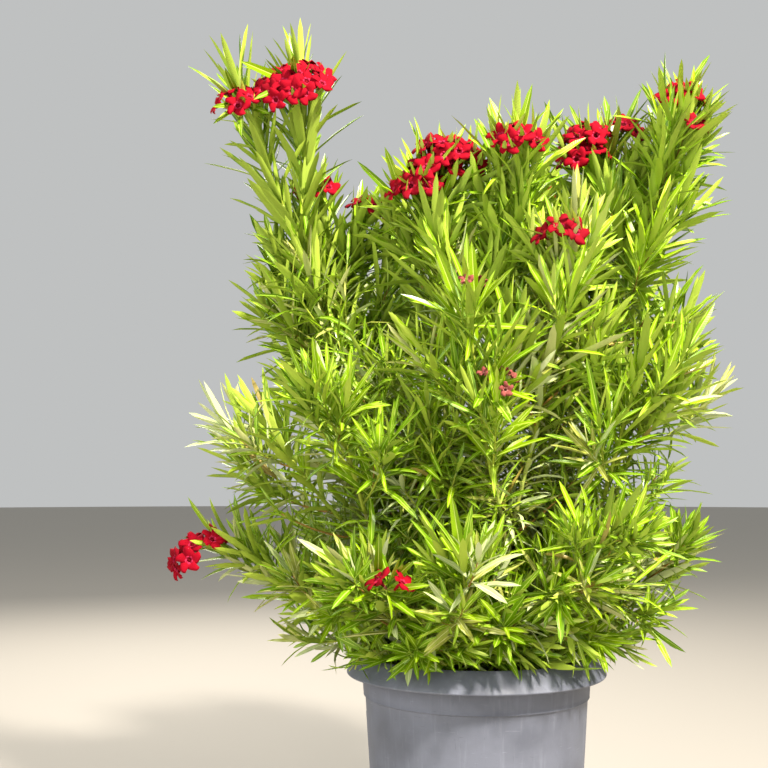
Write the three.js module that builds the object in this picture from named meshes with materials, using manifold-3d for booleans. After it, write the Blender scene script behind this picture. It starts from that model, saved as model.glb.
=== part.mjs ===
// Potted oleander: a clump of canes in a round nursery pot, forked into leafy, flowering shoots.
// Millimetres, +Z up. The origin is the middle of the pot's flat underside, and the front faces -Y.

import * as THREE from "three";
import { mergeVertices } from "three/addons/utils/BufferGeometryUtils.js";
import Module from "manifold-3d";

const wasm = await Module();
wasm.setup();

// Driving dimensions: the pot
const POT_HEIGHT = 440;
const POT_WALL = 4;
const BASE_THICKNESS = 6;
const BASE_RADIUS = 168;
const FOOT_ROUNDING = 8;
const NECK_RADIUS = 198; // outside of the wall under the collar
const COLLAR_RADIUS = 225; // the turned-over collar's lower edge
const COLLAR_DROP = 34; // from the mouth to that edge
const COLLAR_EDGE = POT_HEIGHT - COLLAR_DROP;
const LEDGE_HEIGHT = 368; // the stacking ledge's place on the wall
const LEDGE_DEPTH = 3;
const POT_SIDES = 32;
const DRAIN_HOLES = 6;
const DRAIN_RADIUS = 11;
const DRAIN_RING = 118;
const DRAIN_SIDES = 8;
const SOIL_DROP = 45; // the soil's top below the mouth
const SOIL_CROWN = 4; // how far the soil falls away at the wall
const SOIL_HEIGHT = POT_HEIGHT - SOIL_DROP;
const FIT_GAP = 0.3; // between pieces that touch

// Driving dimensions: canes and boughs
const FOOT_RING = 62; // the outer canes stand on this ring
const FLARE_RADIUS = 15;
const FLARE_HEIGHT = 45;
const CANE_FOOT_RADIUS = 9.5;
const CANE_TIP_RADIUS = 6;
const FORK_RADIUS = 8.5; // the swollen joint at the top of a cane
const BOUGH_FOOT_RADIUS = 3.8;
const BOUGH_TIP_RADIUS = 3;
const FORK_HALF_GAP = 4.3; // from the cane's middle to each bough's middle
const BOUGH_SHARE = 0.3; // of the way from a fork to the end of its shoot
const FOOT_LEAN = 0.12; // sideways for each unit up, where a cane leaves the soil
const FORK_LEAN = 0.3; // and at its fork
const BEND_SHARE = 0.3; // how far a limb holds its first and last direction, as a share of its length
const CANE_STEP = 90; // between a cane's rings
const CANE_SIDES = 6;
const BOUGH_STEPS = 2;
const BOUGH_SIDES = 5;

// Driving dimensions: leafy masses
const STEM_STEPS = 4;
const STEM_FOOT_RADIUS = 4.2;
const STEM_TIP_RADIUS = 2.2;
const TWIG_FOOT_SHARE = 0.45; // of its stem's radius, so that the twig's foot sinks in it
const TWIG_RADIUS = 2.2; // a little way out from there
const TWIG_TIP_RADIUS = 1.4;
const TWIG_REACH = 140;
const TWIG_SPACING = 118; // between side twigs along a stem
const TWIG_VARIATION = 0.2; // share by which a twig may be shorter
const TWIG_ANGLE = 32; // degrees between a twig and its stem
const TWIG_TILT = 10; // degrees by which it may lean out more
const TWIG_SCATTER = 40; // degrees by which it may turn past the golden angle
const TWIG_SHIFT = 61; // and by which it turns on where it doesn't fit
const TWIG_BARE_SHARE = 0.5;
const LEAFY_FROM = 0.12; // share of its stem where a mass's leaves and twigs begin
const LEAFY_TWIGS_TO = 0.72; // and where its twigs end
const ATTEMPTS = 5; // places tried for a leaf or twig before it is skipped
const GOLDEN_ANGLE = 137.5;
const LEAF_LENGTH = 165;
const LEAF_WIDTH = 36;
const LEAF_FOLD = 3.4; // depth of the keel under the midrib
const LEAF_VARIATION = 0.2; // share by which a leaf may be shorter
const LEAF_DROOP = 0.04; // share of its length by which its tip hangs
const LEAF_FREE_SHARE = 0.2; // past this share of its length, a leaf touches no other leaf or twig
const LEAF_APART = 9; // and keeps this far from them, midrib to midrib
const LEAF_OPEN_LOW = 50; // degrees between a leaf and its twig, at the twig's foot
const LEAF_OPEN_HIGH = 22; // and at its tip
const LEAF_TILT = 10; // degrees by which it may open more
const LEAF_SCATTER = 26; // degrees by which it may turn about its place in the whorl
const LEAVES_PER_WHORL = 3;
const WHORL_SPACING = 64;
const WHORL_SETBACK = 9; // from the end of a twig to its last whorl
const TIP_REACH = 140; // how far the top leaves reach past the end of a stem
const FLOWER_RADIUS = 27;
const FLOWER_DEPTH = 42;
const FLOWER_DISH = 5; // depth of the throat
const FLOWER_NOTCH = 0.62; // share of the radius between two petals
const PETALS = 5;
const FLOWER_TILT = 43; // degrees between a flower and its stem
const FLOWERS_PER_HEAD = 3;
const HEAD_SHARE = 0.98; // of the way up its stem
const HEAD_TURN = 30; // degrees, into the gaps between the last leaves
const CROWN_HALF_WIDTH = 492; // the crown's outline from above, an ellipse round CROWN_MIDDLE
const CROWN_HALF_DEPTH = 462;
const CROWN_MIDDLE = -22;
const SKIRT_HEIGHT = 418; // the lowest leaves
const LEAST_EDGE = 0.03; // pieces that would fuse with a shorter edge are moved or skipped
const SLIVER = 0.02; // surface detail finer than this is smoothed out of a finished mass
const SPACE_GAP = 0.4; // each mass keeps this far inside its own space
const LIMB_CLEARANCE = 1.5;
const POT_CLEARANCE = 5;

// One entry for each cane. Turn is its compass angle, 0 to the right, 90 to the back and 270 to the
// front. Foot is how far out it stands, where that isn't FOOT_RING. Reach and fork place its fork, push
// moves its two shoots on outwards past the fork, and they part by spread to both sides along the
// compass angle part. Top is the height of the first shoot's highest leaves, and lift sets the second
// shoot against it.
const CANES = [
  {
    name: "left_tall", turn: 185, foot: 30, reach: 305, fork: 1140,
    push: 62, part: 0, spread: 55, top: 1578, lift: 30,
  },
  {
    name: "left", turn: 206, reach: 190, fork: 600,
    push: 150, part: 135, spread: 85, top: 1020, lift: -40,
  },
  {
    name: "left_back", turn: 150, reach: 190, fork: 720,
    push: 105, part: 80, spread: 70, top: 1330, lift: -130,
  },
  {
    name: "centre", turn: 260, foot: 18, reach: 45, fork: 780,
    push: 30, part: 345, spread: 78, top: 1350, lift: 75,
  },
  {
    name: "back", turn: 92, reach: 170, fork: 740,
    push: 95, part: 0, spread: 105, top: 1370, lift: 95,
  },
  {
    name: "right_tall", turn: 2, foot: 30, reach: 205, fork: 860,
    push: 105, part: 318, spread: 70, top: 1440, lift: 40,
  },
  {
    name: "right_back", turn: 48, reach: 205, fork: 740,
    push: 160, part: 330, spread: 80, top: 1420, lift: -50,
  },
  {
    name: "right", turn: 338, reach: 205, fork: 620,
    push: 130, part: 50, spread: 85, top: 1070, lift: 90,
  },
  {
    name: "front", turn: 285, reach: 155, fork: 620,
    push: 85, part: 25, spread: 100, top: 1130, lift: 150,
  },
];

// Low shoots that break from a cane's side: share is how far up the cane, and turn, reach and end
// place the tip of the shoot's stem.
const SIDE_SHOOTS = [
  { name: "skirt_left", cane: "left", share: 0.4, turn: 191, reach: 385, end: 610 },
  { name: "skirt_left_front", cane: "left", share: 0.25, turn: 231, reach: 320, end: 590 },
  { name: "skirt_front", cane: "front", share: 0.3, turn: 262, reach: 305, end: 620 },
  { name: "skirt_front_right", cane: "front", share: 0.6, turn: 306, reach: 320, end: 660 },
  { name: "skirt_right", cane: "right", share: 0.35, turn: 350, reach: 345, end: 620 },
  { name: "skirt_right_back", cane: "right_back", share: 0.25, turn: 33, reach: 335, end: 640 },
  { name: "skirt_back", cane: "back", share: 0.3, turn: 88, reach: 330, end: 650 },
  { name: "skirt_left_back", cane: "left_back", share: 0.25, turn: 148, reach: 345, end: 640 },
  { name: "middle_front", cane: "centre", share: 0.3, turn: 248, reach: 240, end: 850 },
  { name: "middle_left", cane: "left_tall", share: 0.3, turn: 215, reach: 190, end: 930 },
  { name: "upper_left", cane: "left_tall", share: 0.62, turn: 176, reach: 350, end: 1120 },
  { name: "middle_right", cane: "right_tall", share: 0.4, turn: 325, reach: 225, end: 980 },
  { name: "middle_back", cane: "back", share: 0.6, turn: 120, reach: 260, end: 930 },
];

// Shoots that end in a head of open flowers
const FLOWERING = new Set([
  "left_tall_a", "left_tall_b", "left_back_a", "centre_a", "centre_b", "back_b", "right_tall_a",
  "right_tall_b", "right_back_a", "front_b", "skirt_left", "skirt_left_front",
]);

// Each mass grows from its own seed, one up from the last mass's. Three grow from another, because with
// theirs some leaves cross at too fine an angle for a sound solid.
const FIRST_SEED = 101;
const OTHER_SEEDS = { left_tall_b: 201, centre_a: 202, right_tall_a: 207 };

const UP = new THREE.Vector3(0, 0, 1);

const COLOURS = {
  pot: 0x6d6b6e,
  soil: 0x3a2c22,
  bark: 0x8a7a58,
  green_bark: 0x8f9a48,
  leaf: 0x7fa52c,
};

/** A repeatable stream of numbers from 0 to 1 for one seed. */
function seededNumbers(seed) {
  let state = seed >>> 0;
  return () => {
    state = (state + 0x6d2b79f5) >>> 0;
    let t = state;
    t = Math.imul(t ^ (t >>> 15), t | 1);
    t ^= t + Math.imul(t ^ (t >>> 7), t | 61);
    return ((t ^ (t >>> 14)) >>> 0) / 4294967296;
  };
}

/** A level unit vector at a compass angle in degrees. */
function outward(turn) {
  const angle = THREE.MathUtils.degToRad(turn);
  return new THREE.Vector3(Math.cos(angle), Math.sin(angle), 0);
}

/** Any unit vector square to the given one. */
function squareTo(direction) {
  const helper = Math.abs(direction.z) < 0.9 ? UP : new THREE.Vector3(1, 0, 0);
  return new THREE.Vector3().crossVectors(helper, direction).normalize();
}

/** A manifold-3d solid from a closed three.js geometry. */
function solidFrom(geometry) {
  const bare = new THREE.BufferGeometry();
  bare.setAttribute("position", geometry.getAttribute("position"));
  bare.setIndex(geometry.index);
  const merged = mergeVertices(bare, 1e-3);
  return new wasm.Manifold(new wasm.Mesh({
    numProp: 3,
    vertProperties: new Float32Array(merged.attributes.position.array),
    triVerts: new Uint32Array(merged.index.array),
  }));
}

/** A three.js geometry from a manifold-3d solid. */
function geometryFrom(solid) {
  const mesh = solid.getMesh();
  const geometry = new THREE.BufferGeometry();
  const positions = new Float32Array(mesh.numVert * 3);
  for (let i = 0; i < mesh.numVert; i += 1) {
    positions.set(mesh.vertProperties.subarray(i * mesh.numProp, i * mesh.numProp + 3), i * 3);
  }
  geometry.setAttribute("position", new THREE.BufferAttribute(positions, 3));
  geometry.setIndex(new THREE.BufferAttribute(new Uint32Array(mesh.triVerts), 1));
  geometry.computeVertexNormals();
  return geometry;
}

/** The solid's outer shell: any sealed hollow is filled. */
function filled(solid) {
  return solid.decompose().reduce((largest, shell) => (shell.volume() > largest.volume() ? shell : largest));
}

/** Length of the solid's shortest edge. */
function shortestEdge(solid) {
  const { vertProperties, triVerts, numProp, numTri } = solid.getMesh();
  const corner = (i) => new THREE.Vector3().fromArray(vertProperties, triVerts[i] * numProp);
  let shortest = Infinity;
  for (let i = 0; i < numTri * 3; i += 3) {
    const [a, b, c] = [corner(i), corner(i + 1), corner(i + 2)];
    shortest = Math.min(shortest, a.distanceTo(b), b.distanceTo(c), c.distanceTo(a));
  }
  return shortest;
}

/** An indexed geometry from points and triangles. */
function indexedGeometry(points, triangles) {
  const geometry = new THREE.BufferGeometry();
  geometry.setFromPoints(points);
  geometry.setIndex(triangles.flat());
  geometry.computeVertexNormals();
  return geometry;
}

/** Points of an arc in the pot's profile, as (radius, height), angles in degrees. */
function arcPoints(centreR, centreZ, radius, from, to, steps) {
  return Array.from({ length: steps + 1 }, (_, i) => {
    const angle = THREE.MathUtils.degToRad(from + ((to - from) * i) / steps);
    return new THREE.Vector2(centreR + radius * Math.cos(angle), centreZ + radius * Math.sin(angle));
  });
}

/** A solid turned round Z from a profile of (radius, height) points that starts and ends on the axis. */
function turned(profile, sides) {
  const geometry = new THREE.LatheGeometry(profile, sides);
  geometry.rotateX(Math.PI / 2);
  return solidFrom(geometry);
}

/** Outer radius of the pot's wall at a height, below the collar. */
function wallRadius(height) {
  const ledge = height < LEDGE_HEIGHT ? LEDGE_DEPTH : 0;
  return THREE.MathUtils.lerp(BASE_RADIUS + LEDGE_DEPTH, NECK_RADIUS, height / COLLAR_EDGE) - ledge;
}

/** The pot: tapered wall, stacking ledge, turned-over collar, rounded foot and drain holes. */
function potGeometry() {
  const lip = POT_WALL / 2;
  const innerMouth = NECK_RADIUS - POT_WALL;
  const ledgeTop = LEDGE_HEIGHT + LEDGE_DEPTH;
  const at = (radius, height) => new THREE.Vector2(radius, height);
  const profile = [
    at(0, 0),
    ...arcPoints(wallRadius(0) - FOOT_ROUNDING, FOOT_ROUNDING, FOOT_ROUNDING, -90, 0, 3),
    at(wallRadius(LEDGE_HEIGHT - 1), LEDGE_HEIGHT - 1),
    at(wallRadius(ledgeTop), ledgeTop),
    at(NECK_RADIUS, POT_HEIGHT - 2 * POT_WALL),
    at(COLLAR_RADIUS - POT_WALL, COLLAR_EDGE),
    at(COLLAR_RADIUS - 1, COLLAR_EDGE),
    at(COLLAR_RADIUS, COLLAR_EDGE + lip),
    ...arcPoints(innerMouth + lip, POT_HEIGHT - lip, lip, 40, 150, 2),
    at(innerMouth, POT_HEIGHT - lip),
    at(wallRadius(ledgeTop) - POT_WALL, ledgeTop),
    at(wallRadius(LEDGE_HEIGHT - 1) - POT_WALL, LEDGE_HEIGHT - 1),
    at(wallRadius(BASE_THICKNESS) - POT_WALL, BASE_THICKNESS),
    at(0, BASE_THICKNESS),
  ];
  let pot = turned(profile, POT_SIDES);
  for (let i = 0; i < DRAIN_HOLES; i += 1) {
    const place = outward((i * 360) / DRAIN_HOLES).multiplyScalar(DRAIN_RING);
    const drill = new THREE.CylinderGeometry(DRAIN_RADIUS, DRAIN_RADIUS, BASE_THICKNESS * 4, DRAIN_SIDES);
    drill.rotateX(Math.PI / 2).translate(place.x, place.y, 0);
    pot = pot.subtract(solidFrom(drill));
  }
  return geometryFrom(pot);
}

/** The soil that fills the pot to a little under the mouth. */
function soilGeometry() {
  const bottom = BASE_THICKNESS + FIT_GAP;
  const radiusAt = (height) => wallRadius(height) - POT_WALL - 2 * FIT_GAP;
  const top = LEDGE_HEIGHT - 1;
  return geometryFrom(turned([
    new THREE.Vector2(0, bottom),
    new THREE.Vector2(radiusAt(bottom), bottom),
    new THREE.Vector2(radiusAt(top), top),
    new THREE.Vector2(radiusAt(top), SOIL_HEIGHT - SOIL_CROWN),
    new THREE.Vector2(radiusAt(top) - SOIL_CROWN, SOIL_HEIGHT),
    new THREE.Vector2(0, SOIL_HEIGHT),
  ], POT_SIDES));
}

/** Points along a curve at the given shares of it, each with the radius there, as {point, radius}. */
function sampledLimb(curve, shares, radiusAt) {
  return shares.map((share) => ({ point: curve.getPoint(share), radius: radiusAt(share) }));
}

/** Evenly spaced shares from 0 to 1. */
function evenShares(steps) {
  return Array.from({ length: steps + 1 }, (_, i) => i / steps);
}

/** A closed tapering tube through the samples. Its first face is square to the start direction. */
function limbGeometry(samples, sides, startDirection) {
  const points = [];
  const triangles = [];
  let side = squareTo(startDirection);
  samples.forEach(({ point, radius }, i) => {
    const before = samples[Math.max(i - 1, 0)].point;
    const after = samples[Math.min(i + 1, samples.length - 1)].point;
    const along = i ? after.clone().sub(before).normalize() : startDirection.clone().normalize();
    side = side.clone().addScaledVector(along, -side.dot(along)).normalize();
    const across = new THREE.Vector3().crossVectors(along, side);
    for (let k = 0; k < sides; k += 1) {
      const angle = (k * 2 * Math.PI) / sides;
      points.push(point.clone()
        .addScaledVector(side, radius * Math.cos(angle))
        .addScaledVector(across, radius * Math.sin(angle)));
    }
  });
  for (let i = 0; i + 1 < samples.length; i += 1) {
    for (let k = 0; k < sides; k += 1) {
      const a = i * sides + k;
      const b = i * sides + ((k + 1) % sides);
      triangles.push([a, b, b + sides], [a, b + sides, a + sides]);
    }
  }
  const last = (samples.length - 1) * sides;
  for (let k = 1; k + 1 < sides; k += 1) {
    triangles.push([0, k + 1, k], [last, last + k, last + k + 1]);
  }
  return indexedGeometry(points, triangles);
}

/** Length of a sampled limb's straight pieces. */
function lengthOf(samples) {
  return samples.slice(1).reduce((sum, { point }, i) => sum + point.distanceTo(samples[i].point), 0);
}

/** Point, radius and direction at a share of a sampled limb's length. */
function placeAlong(samples, share) {
  let left = lengthOf(samples) * share;
  let i = 0;
  while (i + 2 < samples.length && left > samples[i].point.distanceTo(samples[i + 1].point)) {
    left -= samples[i].point.distanceTo(samples[i + 1].point);
    i += 1;
  }
  const [a, b] = [samples[i], samples[i + 1]];
  const t = Math.min(left / a.point.distanceTo(b.point), 1);
  return {
    point: a.point.clone().lerp(b.point, t),
    radius: THREE.MathUtils.lerp(a.radius, b.radius, t),
    direction: b.point.clone().sub(a.point).normalize(),
  };
}

/** A cane from its flat cut on the soil, through its flare and taper, to its swollen fork. */
function caneSamples(row) {
  const foot = outward(row.turn).multiplyScalar(row.foot ?? FOOT_RING).setZ(SOIL_HEIGHT + FIT_GAP);
  const fork = outward(row.turn).multiplyScalar(row.reach).setZ(row.fork);
  const rise = fork.distanceTo(foot);
  const leave = UP.clone().addScaledVector(outward(row.turn), FOOT_LEAN).normalize();
  const arrive = UP.clone().addScaledVector(outward(row.turn), FORK_LEAN).normalize();
  const curve = new THREE.CubicBezierCurve3(
    foot,
    foot.clone().addScaledVector(leave, rise * BEND_SHARE),
    fork.clone().addScaledVector(arrive, -rise * BEND_SHARE),
    fork,
  );
  const shares = evenShares(Math.round(rise / CANE_STEP));
  shares.splice(1, 0, FLARE_HEIGHT / rise);
  return sampledLimb(curve, shares, (t) => {
    if (t === 0) return FLARE_RADIUS;
    return t === 1 ? FORK_RADIUS : THREE.MathUtils.lerp(CANE_FOOT_RADIUS, CANE_TIP_RADIUS, t);
  });
}

/** The two shoots past a cane's fork: where each bough starts and ends, and where its mass ends. */
function shootsOf(row) {
  const cane = caneSamples(row);
  const end = placeAlong(cane, 1);
  const out = outward(row.turn);
  const sideways = outward(row.part);
  const seat = sideways.clone().addScaledVector(end.direction, -sideways.dot(end.direction)).normalize();
  const fork = cane[cane.length - 1].point;
  return [-1, 1].map((hand) => {
    const start = fork.clone()
      .addScaledVector(seat, hand * FORK_HALF_GAP)
      .addScaledVector(end.direction, FIT_GAP);
    const tip = fork.clone()
      .addScaledVector(out, row.push)
      .addScaledVector(sideways, hand * row.spread)
      .setZ(row.top - TIP_REACH + (hand > 0 ? row.lift : 0));
    const boughEnd = start.clone().lerp(tip, BOUGH_SHARE);
    return { start, startDirection: end.direction, boughEnd, tip, suffix: hand < 0 ? "a" : "b" };
  });
}

/** A bough that leaves its seat on the fork along the cane and bends out towards its shoot's tip. */
function boughSamples(shoot) {
  const length = shoot.start.distanceTo(shoot.boughEnd);
  const curve = new THREE.QuadraticBezierCurve3(
    shoot.start,
    shoot.start.clone().addScaledVector(shoot.startDirection, length * BEND_SHARE),
    shoot.boughEnd,
  );
  return sampledLimb(curve, evenShares(BOUGH_STEPS), (t) => (
    THREE.MathUtils.lerp(BOUGH_FOOT_RADIUS, BOUGH_TIP_RADIUS, t)
  ));
}

/** A cane's closed tube. */
function caneGeometry(samples) {
  const start = samples[1].point.clone().sub(samples[0].point).setX(0).setY(0).normalize();
  return limbGeometry(samples, CANE_SIDES, start);
}

/** Where a side shoot's stem starts: as near to the cane's faces as FIT_GAP, in the away direction. */
function seatOn(cane, at, away) {
  const seat = at.point.clone().addScaledVector(away, at.radius + FIT_GAP);
  const foot = [0, TWIG_RADIUS].map((rise) => (
    { point: seat.clone().addScaledVector(away, rise), radius: STEM_FOOT_RADIUS }
  ));
  const gap = solidFrom(limbGeometry(foot, 3, away)).minGap(solidFrom(caneGeometry(cane)), at.radius);
  return seat.addScaledVector(away, FIT_GAP - gap);
}

/** Where each leafy mass stands: its stem's foot, first direction and tip. */
function massPlans(canes) {
  const plans = [];
  CANES.forEach((row) => {
    shootsOf(row).forEach((shoot) => {
      const end = placeAlong(boughSamples(shoot), 1);
      plans.push({
        name: `${row.name}_${shoot.suffix}`,
        foot: shoot.boughEnd.clone().addScaledVector(end.direction, FIT_GAP),
        direction: end.direction,
        tip: shoot.tip,
      });
    });
  });
  SIDE_SHOOTS.forEach((row) => {
    const cane = canes.get(row.cane);
    const at = placeAlong(cane, row.share);
    const tip = outward(row.turn).multiplyScalar(row.reach).setZ(row.end);
    const away = tip.clone().sub(at.point);
    away.addScaledVector(at.direction, -away.dot(at.direction)).normalize();
    plans.push({
      name: row.name,
      foot: seatOn(cane, at, away),
      direction: away,
      tip,
    });
  });
  return plans;
}

/** Closest points of two line pieces, as [point on the first, point on the second]. */
function closestPoints(a0, a1, b0, b1) {
  const u = a1.clone().sub(a0);
  const v = b1.clone().sub(b0);
  const w = a0.clone().sub(b0);
  const uu = u.dot(u);
  const uv = u.dot(v);
  const vv = v.dot(v);
  const bottom = uu * vv - uv * uv;
  let s = bottom > 1e-9 ? THREE.MathUtils.clamp((uv * v.dot(w) - vv * u.dot(w)) / bottom, 0, 1) : 0;
  const t = THREE.MathUtils.clamp((uv * s + v.dot(w)) / vv, 0, 1);
  s = THREE.MathUtils.clamp((uv * t - u.dot(w)) / uu, 0, 1);
  return [a0.clone().addScaledVector(u, s), b0.clone().addScaledVector(v, t)];
}

/** A mass's own space: the near side of the halfway plane to each other mass. */
function spaceOf(plan, plans) {
  return plans.filter((other) => other !== plan).map((other) => {
    const [near, far] = closestPoints(plan.foot, plan.tip, other.foot, other.tip);
    const normal = far.clone().sub(near).normalize();
    const middle = near.clone().add(far).multiplyScalar(0.5);
    return new THREE.Plane().setFromNormalAndCoplanarPoint(normal, middle);
  });
}

/** Height of the pot's collar or mouth over a radius, or nothing outside it. */
function collarHeight(radius) {
  if (radius > COLLAR_RADIUS + POT_CLEARANCE) return -Infinity;
  const drop = THREE.MathUtils.clamp((radius - NECK_RADIUS) / (COLLAR_RADIUS - NECK_RADIUS), 0, 1);
  return POT_HEIGHT - COLLAR_DROP * drop;
}

/** True if the line piece, with this half width, is clear of the limbs and the pot. */
function isClear(from, to, halfWidth, limbs) {
  for (let i = 0; i <= 12; i += 1) {
    const p = from.clone().lerp(to, i / 12);
    if (p.z < collarHeight(Math.hypot(p.x, p.y)) + POT_CLEARANCE) return false;
  }
  return limbs.every((limb) => limb.every((sample, i) => {
    if (!i) return true;
    const before = limb[i - 1];
    const [p, q] = closestPoints(from, to, before.point, sample.point);
    return p.distanceTo(q) > Math.max(before.radius, sample.radius) + halfWidth + LIMB_CLEARANCE;
  }));
}

/** A narrow leaf: foot and tip, two edges and a keel under the midrib. */
function leafPoints(foot, direction, across, length) {
  const under = new THREE.Vector3().crossVectors(direction, across).normalize();
  const middle = foot.clone().addScaledVector(direction, length * 0.5);
  const halfWidth = (LEAF_WIDTH / 2) * (length / LEAF_LENGTH);
  return [
    foot.clone(),
    middle.clone().addScaledVector(across, halfWidth),
    middle.clone().addScaledVector(across, -halfWidth),
    middle.clone().addScaledVector(under, -LEAF_FOLD),
    foot.clone().addScaledVector(direction, length).addScaledVector(UP, -length * LEAF_DROOP),
  ];
}

const LEAF_FACES = [[0, 2, 1], [0, 1, 3], [0, 3, 2], [4, 1, 2], [4, 3, 1], [4, 2, 3]];

/** A funnel-shaped flower with five lobes, its foot sunk in the stem. */
function flowerGeometry(foot, direction) {
  const side = squareTo(direction);
  const across = new THREE.Vector3().crossVectors(direction, side);
  const mouth = foot.clone().addScaledVector(direction, FLOWER_DEPTH);
  const points = [foot.clone(), mouth.clone().addScaledVector(direction, -FLOWER_DISH)];
  const triangles = [];
  for (let i = 0; i < 2 * PETALS; i += 1) {
    const angle = (i * Math.PI) / PETALS;
    const radius = i % 2 ? FLOWER_RADIUS * FLOWER_NOTCH : FLOWER_RADIUS;
    points.push(mouth.clone()
      .addScaledVector(side, radius * Math.cos(angle))
      .addScaledVector(across, radius * Math.sin(angle)));
  }
  for (let i = 0; i < PETALS; i += 1) {
    const tip = 2 + 2 * i;
    const next = tip + 1;
    const notch = i ? tip - 1 : 2 * PETALS + 1;
    triangles.push([1, notch, tip], [1, tip, next], [0, next, notch], [notch, next, tip]);
  }
  return indexedGeometry(points, triangles);
}

/** A direction turned away from an axis: open degrees from it, at turn degrees round it. */
function splayed(axis, turn, open) {
  const radial = squareTo(axis).applyAxisAngle(axis, THREE.MathUtils.degToRad(turn));
  const angle = THREE.MathUtils.degToRad(open);
  return axis.clone().multiplyScalar(Math.cos(angle)).addScaledVector(radial, Math.sin(angle)).normalize();
}

/** A leafy mass as it grows: its space, its pieces and the lines that later leaves keep clear of. */
class Mass {
  constructor(plan, plans, limbs, seed) {
    this.plan = plan;
    this.space = spaceOf(plan, plans);
    this.limbs = limbs;
    this.number = seededNumbers(seed);
    this.body = null;
    this.lines = [];
  }

  /** Fuses a closed geometry to the body, unless that would leave an edge too short to build. */
  fuse(geometry) {
    const piece = solidFrom(geometry);
    const whole = this.body ? this.body.add(piece) : piece;
    if (shortestEdge(whole) < LEAST_EDGE) return false;
    this.body = whole;
    return true;
  }

  /** True if the point lies in this mass's space and in the crown. */
  holds(point) {
    const out = Math.hypot((point.x - CROWN_MIDDLE) / CROWN_HALF_WIDTH, point.y / CROWN_HALF_DEPTH);
    const rim = collarHeight(Math.hypot(point.x, point.y)) + POT_CLEARANCE;
    return out < 1 && point.z > Math.max(SKIRT_HEIGHT, rim)
      && this.space.every((plane) => plane.distanceToPoint(point) < -SPACE_GAP);
  }

  /** True if a line keeps its distance from every leaf and twig that doesn't share its root. */
  isApart(from, to, root) {
    return this.lines.every((line) => {
      if (line.root === root && !line.leaf) return true;
      const [p, q] = closestPoints(from, to, line.from, line.to);
      return p.distanceTo(q) > LEAF_APART;
    });
  }

  /** Adds a three-sided twig along samples, and says whether it could. */
  addTwig(samples, startDirection) {
    if (!this.fuse(limbGeometry(samples, 3, startDirection))) return false;
    for (let i = 1; i < samples.length; i += 1) {
      this.lines.push({ from: samples[i - 1].point, to: samples[i].point, root: samples, leaf: false });
    }
    return true;
  }

  /** Adds a leaf unless it would leave the space, or touch a limb, the pot, a leaf or another twig. */
  addLeaf(at, direction, across, root) {
    const length = LEAF_LENGTH * (1 - LEAF_VARIATION * this.number());
    const points = leafPoints(at, direction, across, length);
    const free = at.clone().lerp(points[4], LEAF_FREE_SHARE);
    const fits = points.every((point) => this.holds(point))
      && isClear(points[0], points[4], LEAF_WIDTH / 2, this.limbs)
      && this.isApart(free, points[4], root);
    if (!fits || !this.fuse(indexedGeometry(points, LEAF_FACES))) return false;
    this.lines.push({ from: free, to: points[4], root, leaf: true });
    return true;
  }

  /** Adds whorls of leaves round a twig, from a share of its length to near its tip. */
  addWhorls(twig, from) {
    const length = lengthOf(twig);
    const last = 1 - WHORL_SETBACK / length;
    const whorls = Math.max(2, Math.round((length * (last - from)) / WHORL_SPACING) + 1);
    for (let w = 0; w < whorls; w += 1) {
      const share = THREE.MathUtils.lerp(from, last, w / (whorls - 1));
      const at = placeAlong(twig, share);
      for (let k = 0; k < LEAVES_PER_WHORL; k += 1) {
        for (let attempt = 0; attempt < ATTEMPTS; attempt += 1) {
          const scatter = (attempt + 1) * LEAF_SCATTER * (this.number() - 0.5);
          const turn = ((w % 2) / 2 + k) * (360 / LEAVES_PER_WHORL) + scatter;
          const open = THREE.MathUtils.lerp(LEAF_OPEN_LOW, LEAF_OPEN_HIGH, share) + LEAF_TILT * this.number();
          const direction = splayed(at.direction, turn, open);
          const across = new THREE.Vector3().crossVectors(at.direction, direction).normalize();
          if (this.addLeaf(at.point, direction, across, twig)) break;
        }
      }
    }
  }

  /** Adds side twigs up the stem at the golden angle, each with its own whorls. */
  addSideTwigs(stem, length) {
    const count = Math.round(length / TWIG_SPACING);
    for (let k = 0; k < count; k += 1) {
      const share = THREE.MathUtils.lerp(LEAFY_FROM, LEAFY_TWIGS_TO, (k + 0.5) / count);
      const at = placeAlong(stem, share);
      const reach = TWIG_REACH * (1 - share / 2) * (1 - TWIG_VARIATION * this.number());
      for (let attempt = 0; attempt < ATTEMPTS; attempt += 1) {
        const turn = k * GOLDEN_ANGLE + attempt * TWIG_SHIFT + TWIG_SCATTER * this.number();
        const direction = splayed(at.direction, turn, TWIG_ANGLE + TWIG_TILT * this.number());
        const end = at.point.clone().addScaledVector(direction, reach);
        const free = at.point.clone().lerp(end, LEAF_FREE_SHARE);
        const fits = this.holds(end) && isClear(at.point, end, TWIG_RADIUS, this.limbs)
          && this.isApart(free, end, stem);
        const twig = [
          { point: at.point, radius: at.radius * TWIG_FOOT_SHARE },
          { point: free, radius: TWIG_RADIUS },
          { point: end, radius: TWIG_TIP_RADIUS },
        ];
        if (fits && this.addTwig(twig, direction)) {
          this.addWhorls(twig, TWIG_BARE_SHARE);
          break;
        }
      }
    }
  }

  /** Adds a head of flowers at the stem's tip, in the gaps between its last leaves. */
  addFlowers(stem) {
    const tip = placeAlong(stem, HEAD_SHARE);
    for (let k = 0; k < FLOWERS_PER_HEAD; k += 1) {
      const face = splayed(tip.direction, HEAD_TURN + (k * 360) / FLOWERS_PER_HEAD, FLOWER_TILT);
      this.fuse(flowerGeometry(tip.point, face));
      this.lines.push({
        from: tip.point.clone().addScaledVector(face, FLOWER_DEPTH / 2),
        to: tip.point.clone().addScaledVector(face, FLOWER_DEPTH + FLOWER_RADIUS / 2),
        root: null,
        leaf: true,
      });
    }
  }

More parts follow.
